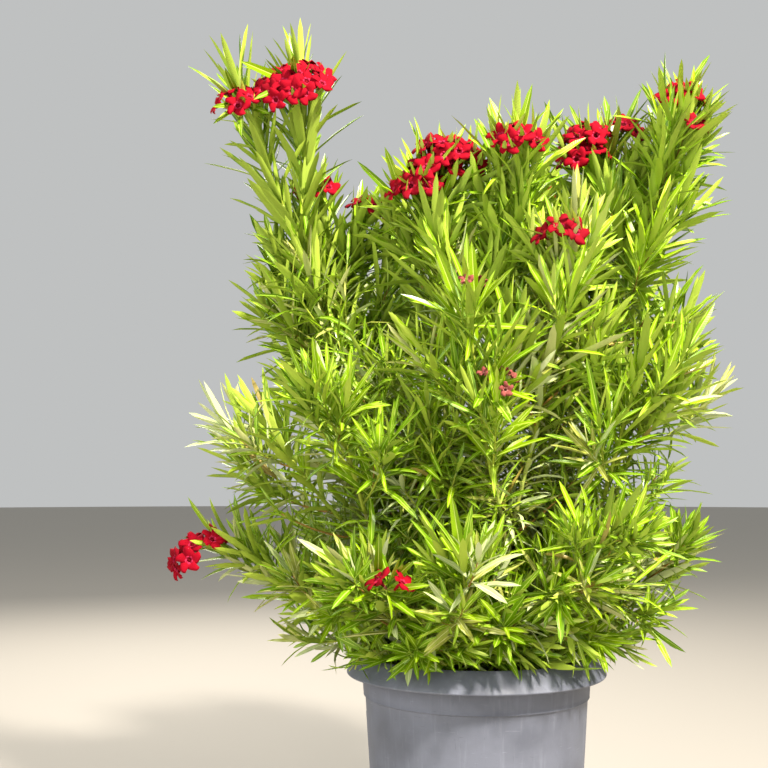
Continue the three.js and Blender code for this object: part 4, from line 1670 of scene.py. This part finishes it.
LOW_SHOOT = Habit(
    Leafing(0.15, 18 * MM, 108 * MM, 0.060, 54, 16, 0.4),
    Branching(LOW_TWIG, 28 * MM, 0.06, 0.9, 135 * MM, 44, 24, 0.3),
)
INNER_SHOOT = Habit(
    Leafing(0.2, 20 * MM, 100 * MM, 0.05, 76, 22, 0.8),
    Branching(INNER_TWIG, 26 * MM, 0.05, 0.9, 140 * MM, 46, 26, 0.2),
)
ON_CANE = Branching(INNER_TWIG, 22 * MM, 0.24, 0.98, 205 * MM, 54, 26, 0.25)
ON_BOUGH = Branching(INNER_TWIG, 30 * MM, 0.1, 0.95, 170 * MM, 50, 30, 0.25)
ON_CANE_FOOT = Branching(LOW_TWIG, 16 * MM, 0.04, 0.42, 190 * MM, 64, 50, 0.2)
UNDER_SKIRT = Branching(LOW_TWIG, 26 * MM, 0.0, 0.6, 125 * MM, 86, 66, -0.12)
ON_TALL_CANE = Branching(TALL_TWIG, 30 * MM, 0.6, 0.98, 95 * MM, 36, 24, 0.3)


@dataclass(frozen=True)
class WhorlRule:
    """How leaves stand in their whorls, in degrees and radians, and the ranges in which they vary.

    A leaf's length is its growth, the least and what a part of half a sine wave up the stem adds to that.
    """

    leaves: int = 3
    attempts: int = 3
    last: float = 0.995
    drift: float = 7
    sway: float = 14
    steepening: float = 0.8
    openings: Pair = (-10, 12)
    growth: Pair = (0.78, 0.28)
    growth_wave: Pair = (0.25, 0.55)
    seat: float = 0.5
    lengths: Pair = (0.68, 1.12)
    widths: Pair = (0.8, 1.15)
    first_droop: float = 1.25
    droops: Pair = (0.3, 1.6)
    curls: Pair = (-0.14, 0.16)
    twists: Pair = (-0.7, 0.7)
    fallen: float = 0.12

    def leaf(
        self, at: Spot, leafing: Leafing, rise: float, turn: float, tint: Tint, number: random.Random
    ) -> Leaf:
        """One leaf of a whorl.

        Args:
            at: The place on the stem.
            leafing: How the stem bears leaves.
            rise: The whorl's place from the first, 0, to the last, 1.
            turn: Degrees round the stem.
            tint: The leaf's tint.
            number: The random numbers.

        Returns:
            The leaf.
        """
        opening = leafing.open_foot + (leafing.open_tip - leafing.open_foot) * rise ** self.steepening
        direction = splayed(at.direction, turn, opening + number.uniform(*self.openings))
        least, more = self.growth
        first, run = self.growth_wave
        length = leafing.length * (least + more * math.sin(math.pi * (first + run * rise)))
        droop = leafing.droop * (self.first_droop - rise)
        return Leaf(
            at.point + direction * at.radius * self.seat,
            direction,
            direction.cross(at.direction).normalized(),
            length * number.uniform(*self.lengths),
            leafing.slimness * number.uniform(*self.widths),
            droop * number.uniform(*self.droops) + number.uniform(*self.curls),
            number.uniform(*self.twists),
            tint,
        )


@dataclass(frozen=True)
class TwigRule:
    """How twigs leave a stem, in degrees and shares, and the ranges in which they vary."""

    attempts: int = 5
    shortening: float = 0.4
    reaches: Pair = (0.72, 1.1)
    next_turn: float = 61
    sway: float = 20
    openings: Pair = (-5, 8)
    bend: float = 0.5
    steps: int = 5
    foot_share: float = 0.72
    foot_most: float = 2.3 * MM
    tip_share: float = 0.55
    tip_least: float = 0.7 * MM
    green_share: float = 0.76


@dataclass(frozen=True)
class SprayTints:
    """How tints are dealt out, by the light at a spray's place, on a scale of about one.

    This paints the crown's light and shade into the leaves: lighter, yellower tints where it is lit and
    deeper or duller ones where it is in shade.

    The light grows outwards and varies by its spread. The heart, the low outside and both sides are in
    shade, and most so the tall cane's leaves at the left. The limits are the light up to which a spray has
    each tint. Dull are the sprays in less than dull_light, and a share of those under dull_top. A single leaf
    may be faded, or a step younger or older: those pairs are the draw's limit at a stem's foot, and what it
    gains up to the tip.
    """

    light: float = 0.41
    outer_light: float = 0.2
    spread: float = 0.19
    heart: float = 0.52
    heart_top: float = 1120 * MM
    heart_shade: float = 0.24
    skirt_top: float = 760 * MM
    left: float = -150 * MM
    right: float = 170 * MM
    side_shade: float = 0.1
    tall_shade: float = 0.34
    top_light: float = 0.11
    limits: tuple[tuple[float, Tint], ...] = ((0.47, Tint.DEEP), (0.7, Tint.GROWN), (0.98, Tint.FRESH))
    dull_light: float = 0.33
    dull_top: float = 620 * MM
    dull_share: float = 0.42
    # The pale tint among these is a painted sheen.
    dull_tints: tuple[Tint, ...] = (
        Tint.DULL, Tint.DEEP, Tint.DEEP, Tint.PALE, Tint.GROWN, Tint.DULL, Tint.FRESH,
    )
    faded: float = 0.003
    younger: Pair = (0.1, 0.25)
    older: Pair = (0.66, 0.2)

    def shade_at(self, point: Vector, out: float) -> float:
        """The light that a place gains or loses by the part of the crown that it is in.

        Args:
            point: The place.
            out: Its distance from the crown's middle, against the half width.

        Returns:
            What is added to the light.
        """
        high = point.z > self.heart_top
        if out < self.heart and not high:
            return -self.heart_shade
        if point.z < self.skirt_top:
            return -self.side_shade
        if point.x < self.left:
            return -self.tall_shade if high else -self.side_shade
        if point.x > self.right:
            return -self.side_shade
        return self.top_light if high else 0.0

    def at(self, point: Vector, number: random.Random) -> Tint:
        """Deals a tint to a spray as painted light and shade: dull ones inside and low down, fresh ones at
        the lit top.

        Args:
            point: The spray's place.
            number: The random numbers.

        Returns:
            The tint.
        """
        out = Vector((point.x - GROWTH.crown_middle, point.y)).length / GROWTH.crown_half_width
        light = self.light + self.outer_light * out + number.gauss(0, self.spread)
        light += self.shade_at(point, out)
        dull = light < self.dull_light or (point.z < self.dull_top and number.random() < self.dull_share)
        if dull and point.z < self.heart_top:
            return number.choice(self.dull_tints)
        return next((tint for limit, tint in self.limits if light < limit), Tint.YOUNG)

    def aged(self, tint: Tint, rise: float, number: random.Random) -> Tint:
        """A leaf's own tint: often a step younger near the stem's tip and a step older low on it.

        Args:
            tint: The spray's tint.
            rise: The whorl's place on the stem, from 0 to 1.
            number: The random numbers.

        Returns:
            The leaf's tint.
        """
        chance = number.random()
        if chance < self.faded:
            return Tint.FADED
        if chance < self.younger[0] + self.younger[1] * rise:
            return Tint(max(tint.value - 1, Tint.YOUNG.value))
        if chance > self.older[0] + self.older[1] * rise:
            # A dull leaf one step older takes the pale tint, a painted sheen.
            oldest = Tint.DEEP if tint.value <= Tint.DEEP.value else Tint.PALE
            return Tint(min(tint.value + 1, oldest.value))
        return tint


@dataclass(frozen=True)
class HeadRule:
    """How a flower head is set up on its shoot, in shares of its stalk, its width and its arms.

    The pairs of openings, in degrees, arms and arm_starts are a flower's and a bud's. A head that stands more
    than flanked_from millimetres over its shoot has a leafy shoot, or flank, on each side.
    """

    stalk_bend: float = 0.6
    stalk_steps: int = 8
    stalk_radii: Pair = (2.0 * MM, 1.3 * MM)
    flanked_from: float = 30
    flank_drop: float = 55
    flank_back: float = 0.2
    flank_foot: float = 0.2
    flank_bend: float = 0.4
    flank_reach: float = 0.6
    flank_steps: int = 5
    flank_radii: Pair = (1.6 * MM, 0.9 * MM)
    lift: float = 1.5
    flatness: float = 0.62
    flower_start: float = 0.6
    openings: Pair = (88, 38)
    strays: Pair = (0.9, 1.1)
    arms: Pair = (0.62, 0.5)
    arm_lengths: Pair = (0.8, 1.1)
    arm_starts: Pair = (0.3, 0.12)
    arm_bend: float = 0.4
    arm_steps: int = 4
    arm_radius: float = 0.9 * MM
    jitter: float = 0.3
    up_turn: float = 0.25
    front_turn: float = 0.5
    sizes: Pair = (0.86, 1.06)
    spent_shape: tuple[float, float, float, float] = (0.5, 0.5, 1.15, 1.0)
    true_share: float = 0.8
    kept_clear: tuple[float, ...] = (8, 16, 24)


# The crown
@dataclass
class Crown:
    """All that grows from the canes and boughs: twigs, leaves and blossom.

    Two leaves don't cross in one cell of leaf_apart, at the checked shares of their length past the first.
    """

    pot: Pot
    whorl: WhorlRule = field(default_factory=WhorlRule)
    twig: TwigRule = field(default_factory=TwigRule)
    tints: SprayTints = field(default_factory=SprayTints)
    rule: HeadRule = field(default_factory=HeadRule)
    blade: LeafBlade = field(default_factory=LeafBlade)
    flower: Flower = field(default_factory=Flower)
    bud: Bud = field(default_factory=Bud)
    twig_sides: int = 5
    piece_leaves: int = 5000
    leaf_apart: float = 6 * MM
    checked: tuple[float, ...] = (0.3, 0.5, 0.7, 0.85, 1.0)
    limb_clearance: float = 2.5 * MM
    pot_clearance: float = 5 * MM
    overtop: float = 12 * MM
    hanging_share: float = 0.12
    hanging_floor: float = 404 * MM
    skirt_slope: float = 0.62
    sprigs_from: int = 6
    tint_share: float = 0.8
    head_seed: int = 900
    stalk_seed: int = 950
    mass_seed: int = 101
    bough_seed: int = 701
    cane_seed: int = 501

    def __post_init__(self) -> None:
        """Draws the bare limbs and starts with no leaves and no flowers on them."""
        self.leaves: list[Leaf] = []
        self.stems = Tubes(self.twig_sides)
        self.blooms: list[tuple[Matrix, Bloom]] = []
        self.buds: list[tuple[Matrix, Bloom]] = []
        self.taken: set[tuple[int, ...]] = set()
        self.canes = {plan.name: plan.limb() for plan in CANES}
        self.boughs: list[Limb] = []
        self.plans: list[ShootPlan] = []
        for plan in CANES:
            for _, bough, shoot in plan.boughs():
                self.boughs.append(bough)
                self.plans.append(shoot)
        self.plans += [side.plan(self.canes[side.cane]) for side in SIDE_SHOOTS]
        limbs = list(self.canes.values()) + self.boughs
        self.starts = np.array([tuple(p) for limb in limbs for p in limb.points[:-1]])
        self.spans = np.array([tuple(p) for limb in limbs for p in limb.points[1:]]) - self.starts
        self.thick = np.array([r for limb in limbs for r in limb.radii[:-1]])
        self.number = random.Random(0)

    def floor_at(self, radius: float) -> float:
        """The height that a leaf has to stay over, at a distance from the axis."""
        pot = self.pot
        if radius < pot.neck_radius - 2 * self.pot_clearance:
            return GROWTH.soil_height + 2 * self.pot_clearance
        share = min(1.0, max(0.0, (radius - pot.neck_radius) / (pot.collar_radius - pot.neck_radius)))
        rim = pot.height - pot.collar_drop * share + self.pot_clearance
        return rim + max(0.0, radius - pot.collar_radius) * self.skirt_slope

    def holds(self, point: Vector, hangs: bool = False) -> bool:
        """Tells if a point lies in the crown's outline from above and clear of the pot.

        Args:
            point: The point.
            hangs: True for a leaf that may hang over the collar.

        Returns:
            True if a leaf or twig may be there.
        """
        across = (point.x - GROWTH.crown_middle) / GROWTH.crown_half_width
        deep = point.y / GROWTH.crown_half_depth
        out = point.xy.length
        past_collar = hangs and out > self.pot.collar_radius + self.pot_clearance
        floor = self.hanging_floor if past_collar else self.floor_at(out)
        return across * across + deep * deep < 1 and point.z > floor

    def clear_of_limbs(self, points: Sequence[Vector]) -> bool:
        """True if none of the points touches a cane or bough."""
        p = np.array([tuple(point) for point in points])[:, None, :]
        t = ((p - self.starts) * self.spans).sum(2) / (self.spans ** 2).sum(1)
        gap = p - self.starts - np.clip(t, 0, 1)[..., None] * self.spans
        return bool((np.sqrt((gap ** 2).sum(2)) > self.thick + self.limb_clearance).all())

    def cell(self, point: Vector) -> tuple[int, ...]:
        """The cell of room that a point lies in."""
        return tuple(int(c // self.leaf_apart) for c in point)

    def add_leaf(self, leaf: Leaf) -> bool:
        """Keeps a leaf if it has room, and says whether it did."""
        points = [leaf.along(share) for share in self.checked]
        cells = {self.cell(point) for point in points[1:]}
        hangs = self.number.random() < self.hanging_share
        if cells & self.taken or not all(self.holds(point, hangs) for point in points):
            return False
        if not self.clear_of_limbs(points[1:]):
            return False
        self.taken |= cells
        self.leaves.append(leaf)
        return True

    def add_whorls(self, stem: Limb, leafing: Leafing, tint: Tint) -> None:
        """Grows whorls of leaves up a stem, shorter and steeper towards its tip.

        Args:
            stem: The stem.
            leafing: How it bears leaves.
            tint: The spray's colour.
        """
        number, rule = self.number, self.whorl
        whorls = max(2, round(stem.length * (1 - leafing.start) / leafing.spacing) + 1)
        step = 360 / rule.leaves
        start = number.uniform(0, step)
        for w in range(whorls):
            rise = w / (whorls - 1)
            at = stem.at(leafing.start + (rule.last - leafing.start) * rise)
            for k in range(rule.leaves):
                leaf_tint = self.tints.aged(tint, rise, number)
                if number.random() < rule.fallen * (1 - rise):
                    continue
                for attempt in range(rule.attempts):
                    stray = number.uniform(-rule.sway, rule.sway) * (1 + attempt)
                    turn = start + ((w % 2) / 2 + k) * step + stray + w * rule.drift
                    leaf = rule.leaf(at, leafing, rise, turn, leaf_tint, number)
                    if self.add_leaf(leaf):
                        break

    def add_twigs(self, stem: Limb, branching: Branching) -> None:
        """Grows side twigs up a stem at the golden angle, each with its leaves and finer twigs.

        Args:
            stem: The stem.
            branching: How it bears twigs.
        """
        number, rule = self.number, self.twig
        run = branching.stop - branching.start
        count = max(1, round(stem.length * run / branching.spacing))
        phase = number.uniform(0, 360)
        ceiling = stem.points[-1].z + self.overtop
        for k in range(count):
            share = branching.start + run * (k + 0.5) / count
            at = stem.at(share)
            reach = branching.reach * (1 - rule.shortening * share) * number.uniform(*rule.reaches)
            opening = branching.open_foot + (branching.open_tip - branching.open_foot) * share
            for attempt in range(rule.attempts):
                stray = number.uniform(-rule.sway, rule.sway)
                turn = phase + k * GOLDEN_ANGLE + attempt * rule.next_turn + stray
                direction = splayed(at.direction, turn, opening + number.uniform(*rule.openings))
                end = at.point + (direction + UP * branching.rise).normalized() * reach
                if end.z > ceiling or not self.holds(end):
                    continue
                if self.clear_of_limbs([at.point.lerp(end, 0.5), end]):
                    bend = at.point + direction * reach * rule.bend
                    self.add_twig(at.radius, (at.point, bend, end), branching.habit)
                    break

    def add_twig(self, radius: float, controls: Sequence[Vector], habit: Habit) -> None:
        """Adds one twig with its leaves and finer twigs.

        Args:
            radius: The radius of its stem.
            controls: The control points of its curve.
            habit: How it grows.
        """
        rule = self.twig
        foot = min(radius * rule.foot_share, rule.foot_most)
        tip = max(foot * rule.tip_share, rule.tip_least)
        twig = Limb.curved(controls, rule.steps, foot, tip)
        self.stems.add(twig, Wood.GREEN if self.number.random() < rule.green_share else Wood.RIPENED)
        self.add_whorls(twig, habit.leafing, self.tint_at(controls[-1]))
        if habit.branching:
            self.add_twigs(twig, habit.branching)

    def tint_at(self, point: Vector) -> Tint:
        """Deals a tint to a spray."""
        return self.tints.at(point, self.number)

    def habit_of(self, plan: ShootPlan) -> Habit:
        """How a mass's shoot grows, by where it stands."""
        for part, habit in (("skirt", LOW_SHOOT), ("middle", INNER_SHOOT), ("left_tall", TALL_SHOOT)):
            if plan.name.startswith(part):
                return habit
        return UPPER_SHOOT if plan.tip.z > self.tints.heart_top else MIDDLE_SHOOT

    def grow(self) -> None:
        """Grows the flower heads, then every mass, then the leafy twigs on the boughs and canes."""
        shoots = {plan.name: plan.stem() for plan in self.plans}
        stalks: list[tuple[Limb, Tint]] = []
        for i, head in enumerate(HEADS):
            self.number = random.Random(self.head_seed + i)
            stalks += self.add_head(shoots[head.shoot], head)
        for i, (stalk, tint) in enumerate(stalks):
            self.number = random.Random(self.stalk_seed + i)
            self.add_whorls(stalk, FLOWER_STALK.leafing, tint)
        for i, plan in enumerate(self.plans):
            self.number = random.Random(self.mass_seed + i)
            self.add_mass(shoots[plan.name], plan)
        for i, (bough, plan) in enumerate(zip(self.boughs, self.plans)):
            self.number = random.Random(self.bough_seed + i)
            tall = plan.name.startswith("left_tall")
            habit = TALL_SHOOT if tall else INNER_TWIG
            self.add_whorls(bough, habit.leafing, self.tint_at(bough.at(0.5).point))
            self.add_twigs(bough, TALL_SHOOT.branching if tall else ON_BOUGH)
        for i, (name, cane) in enumerate(self.canes.items()):
            self.number = random.Random(self.cane_seed + i)
            if name == "left_tall":
                top = Limb(cane.points[-self.sprigs_from:], cane.radii[-self.sprigs_from:])
                self.add_whorls(top, TALL_SHOOT.leafing, Tint.GROWN)
                self.add_twigs(cane, ON_TALL_CANE)
            self.add_twigs(cane, ON_CANE)
            self.add_twigs(cane, ON_CANE_FOOT)

    def add_mass(self, stem: Limb, plan: ShootPlan) -> None:
        """Grows one leafy mass.

        Args:
            stem: The mass's stem.
            plan: Its plan.
        """
        habit = self.habit_of(plan)
        self.stems.add(stem, Wood.GREEN)
        self.add_whorls(stem, habit.leafing, self.tint_at(stem.at(self.tint_share).point))
        self.add_twigs(stem, habit.branching)
        if plan.name.startswith("skirt"):
            self.add_twigs(stem, UNDER_SKIRT)

    def add_head(self, stem: Limb, head: Head) -> list[tuple[Limb, Tint]]:
        """Grows one flower head on a stalk from its shoot, with leafy shoots beside a high one.

        Args:
            stem: The shoot.
            head: The head.

        Returns:
            The stalk's leafy part and the shoots beside it, each with the tint of its leaves.
        """
        number, rule = self.number, self.rule
        root = stem.at(head.share)
        top = stem.at(1.0).point + Vector((head.right, -head.front, head.up)) * MM
        bend = root.point + root.direction * (top - root.point).length * rule.stalk_bend
        stalk = Limb.curved((root.point, bend, top), rule.stalk_steps, *rule.stalk_radii)
        self.stems.add(stalk, Wood.GREEN)
        tint = self.tint_at(top)
        leafy = [(Limb(stalk.points[:-1], stalk.radii[:-1]), tint)]
        for hand in (-1, 1) if head.up > rule.flanked_from else ():
            beside = Vector((hand * head.width, rule.flank_back * head.width, -rule.flank_drop)) * MM
            middle = stalk.at(0.5).point + beside * rule.flank_bend
            controls = (stalk.at(rule.flank_foot).point, middle, top + beside * rule.flank_reach)
            flank = Limb.curved(controls, rule.flank_steps, *rule.flank_radii)
            self.stems.add(flank, Wood.GREEN)
            leafy.append((flank, tint))
        axis = (stalk.at(1.0).direction + UP * rule.lift).normalized()
        for k in range(head.flowers):
            share = (k + rule.flower_start) / head.flowers
            opening = rule.openings[0] * math.sqrt(share) * number.uniform(*rule.strays)
            direction = splayed(axis, k * GOLDEN_ANGLE, opening)
            self.blooms.append(self.add_flower(head, top, axis, direction, 0))
        for k in range(head.flowers, head.flowers + head.buds):
            direction = splayed(axis, k * GOLDEN_ANGLE, number.uniform(0, rule.openings[1]))
            self.buds.append(self.add_flower(head, top, axis, direction, 1))
        return leafy

    def add_flower(
        self, head: Head, top: Vector, axis: Vector, direction: Vector, kind: int
    ) -> tuple[Matrix, Bloom]:
        """Adds the arm of one flower or bud, and keeps leaves away from its face.

        Args:
            head: The head.
            top: The head's middle.
            axis: The way that the head faces.
            direction: The side of the head that the flower stands on.
            kind: 0 for a flower and 1 for a bud.

        Returns:
            The flower's place and state.
        """
        number, rule = self.number, self.rule
        length = head.width * MM * rule.arms[kind] * number.uniform(*rule.arm_lengths)
        start = top - axis * rule.arm_starts[kind] * length
        end = start + (direction - axis * direction.dot(axis) * rule.flatness) * length
        bend = start + axis * length * rule.arm_bend
        arm = Limb.curved((start, bend, end), rule.arm_steps, rule.arm_radius, rule.arm_radius)
        self.stems.add(arm, Wood.STALK)
        jitter = Vector([number.uniform(-rule.jitter, rule.jitter) for _ in range(3)])
        facing = (direction + UP * rule.up_turn + Vector((0, -rule.front_turn, 0)) + jitter).normalized()
        turn = Matrix.Rotation(number.uniform(0, math.tau), 4, "Z")
        size = Matrix.Scale(number.uniform(*rule.sizes), 4)
        spent = head.bloom is Bloom.SPENT
        if spent:
            size = Matrix.Diagonal(rule.spent_shape)
        place = Matrix.Translation(end) @ facing.to_track_quat("Z", "Y").to_matrix().to_4x4() @ turn @ size
        own = number.random() < rule.true_share or spent
        for reach in rule.kept_clear:
            self.taken.add(self.cell(end + facing * reach * MM))
        return place, head.bloom if own else Bloom.DEEP

    @staticmethod
    def copies(pattern: Pattern, places: Sequence[tuple[Matrix, Bloom]]) -> tuple[np.ndarray, np.ndarray]:
        """The vertices and tints of each copy of a pattern at its place."""
        whole = np.c_[pattern.points, np.ones(len(pattern.points))]
        points = np.array([whole @ np.array(place).T for place, _ in places])[..., :3]
        return points, np.array([bloom.value for _, bloom in places])

    def build(self) -> list[Object]:
        """The leaf, twig and blossom pieces."""
        nodes = [f"leaves_{plan.name}" for plan in self.plans]
        leaf = self.blade.pattern()
        pieces = [piece for tint in Tint for piece in self.leaf_pieces(tint, leaf, nodes)]
        shoots = [
            Skin("green_shoot", "a9b53c", 0.5, grain=3 * MM).material(),
            Skin("ripened_shoot", "a07a35", 0.55, grain=3 * MM).material(),
            Skin("flower_stalk", "94903c", 0.5, grain=2 * MM).material(),
        ]
        pieces.append(settle(in_scene("twigs", self.stems.mesh(), shoots), nodes))
        petals = [material for bloom in Bloom for material in self.petal_materials(bloom)]
        for name, made, places in (
            ("flowers", self.flower.pattern(), self.blooms), ("flower_buds", self.bud.pattern(), self.buds),
        ):
            mesh = made.joined(*self.copies(made, places))
            pieces.append(settle(in_scene(name, mesh, petals)))
        return pieces

    def leaf_pieces(self, tint: Tint, pattern: Pattern, nodes: Sequence[str]) -> list[Object]:
        """The leaves of one tint.

        Args:
            tint: The tint.
            pattern: The leaf that is repeated.
            nodes: The solids that they replace.

        Returns:
            As many pieces as they need.
        """
        colours = LEAF_COLOURS[tint]
        kind = tint.name.lower()
        waxy = {"vein_spacing": 0.035, "ior": 1.3}
        materials = [
            Skin(f"{kind}_leaf_upper", colours.upper, colours.roughness, coat=0.22, **waxy).material(),
            Skin(f"{kind}_leaf_midrib", colours.midrib, 0.5, grain=2 * MM).material(),
            Skin(f"{kind}_leaf_under", colours.under, 0.6, **waxy).material(),
        ]
        chosen = [leaf for leaf in self.leaves if leaf.tint is tint]
        LOG.info("%s leaves: %d", kind, len(chosen))
        pieces = []
        for start in range(0, len(chosen), self.piece_leaves):
            part = chosen[start:start + self.piece_leaves]
            mesh = pattern.joined(self.blade.placed(pattern, part), np.zeros(len(part), int))
            name = f"{kind}_leaves_{start // self.piece_leaves + 1}"
            pieces.append(settle(in_scene(name, mesh, materials), nodes))
        return pieces

    @staticmethod
    def petal_materials(bloom: Bloom) -> list[Material]:
        """The materials of one state of flower, in the order of its parts."""
        colours = BLOOM_COLOURS[bloom]
        kind = bloom.name.lower()
        velvet = {"roughness": 0.8, "grain": 4 * MM, "ior": 1.2}
        return [
            Skin(f"{kind}_petal", colours.petal, **velvet).material(),
            # The fringe's paler pink is partly a painted highlight, and the throat's deeper red partly
            # painted shade.
            Skin(f"{kind}_petal_fringe", colours.fringe, **velvet).material(),
            Skin(f"{kind}_flower_throat", colours.throat, **velvet).material(),
            Skin(f"{kind}_calyx", colours.calyx, 0.55, grain=2 * MM).material(),
        ]


# The studio
@dataclass(frozen=True)
class Lamp:
    """A square area light: where it stands, its side in metres, its power in watts and its colour."""

    name: str
    place: tuple[float, float, float]
    size: float
    power: float
    colour: str

    def add(self, aim: Vector) -> None:
        """Adds the lamp, turned to a point."""
        data = bpy.data.lights.new(self.name, "AREA")
        data.size = self.size
        data.energy = self.power
        data.color = linear(self.colour)[:3]
        lamp = bpy.data.objects.new(self.name, data)
        lamp.location = self.place
        lamp.rotation_mode = "QUATERNION"
        lamp.rotation_quaternion = (aim - Vector(self.place)).to_track_quat("-Z", "Y")
        bpy.context.scene.collection.objects.link(lamp)


@dataclass(frozen=True)
class Studio:
    """Plain pale floor, soft light and the photograph's point of view."""

    camera_place: tuple[float, float, float] = (-0.160, -1.96, 0.739)
    camera_pitch: float = 4.99
    lens: float = 51.6
    sensor_width: float = 36.0
    floor_radius: float = 30.0
    floor_drop: float = 0.5 * MM
    floor_colour: str = "a7a299"
    sky_colour: str = "e6e8e8"
    sky_strength: float = 0.66
    aim_height: float = 0.8
    lamps: tuple[Lamp, ...] = (
        Lamp("key", (1.6, -2.5, 3.9), 0.45, 540.0, "fff6ea"),
        Lamp("fill", (-2.6, -3.2, 1.9), 3.0, 105.0, "f6f6f2"),
        Lamp("rim", (-1.2, 3.2, 3.2), 2.6, 200.0, "fff8ee"),
    )

    def build(self) -> None:
        """Adds the floor, the lamps, the surroundings and the camera."""
        self.add_floor()
        for lamp in self.lamps:
            lamp.add(UP * self.aim_height)
        world = bpy.data.worlds.new("surroundings")
        bpy.context.scene.world = world
        world.use_nodes = True
        background = world.node_tree.nodes["Background"]
        background.inputs["Color"].default_value = linear(self.sky_colour)
        background.inputs["Strength"].default_value = self.sky_strength
        bpy.context.scene.view_settings.view_transform = "Standard"
        data = bpy.data.cameras.new("camera")
        data.lens = self.lens
        data.sensor_width = self.sensor_width
        camera = bpy.data.objects.new("camera", data)
        camera.location = self.camera_place
        camera.rotation_euler = (math.radians(90 + self.camera_pitch), 0.0, 0.0)
        bpy.context.scene.collection.objects.link(camera)
        bpy.context.scene.camera = camera

    def add_floor(self) -> None:
        """A wide plain floor, with the finest of grain."""
        bm = bmesh.new()
        bmesh.ops.create_circle(bm, cap_ends=True, segments=96, radius=self.floor_radius)
        bmesh.ops.translate(bm, verts=bm.verts, vec=(0, 0, -self.floor_drop))
        paint = Skin("pale_floor", self.floor_colour, 0.8, grain=20 * MM).material()
        mesh = as_mesh(bm)
        in_scene("floor", mesh, [paint])


def main() -> None:
    """Builds the plant, its pot and the studio."""
    logging.basicConfig(level=logging.INFO, format="%(message)s")
    Studio().build()
    pot = Pot()
    pot.build()
    PottingMix().build()
    Clump().build()
    crown = Crown(pot)
    crown.grow()
    crown.build()
    bpy.context.view_layer.update()


if __name__ == "__main__":
    main()
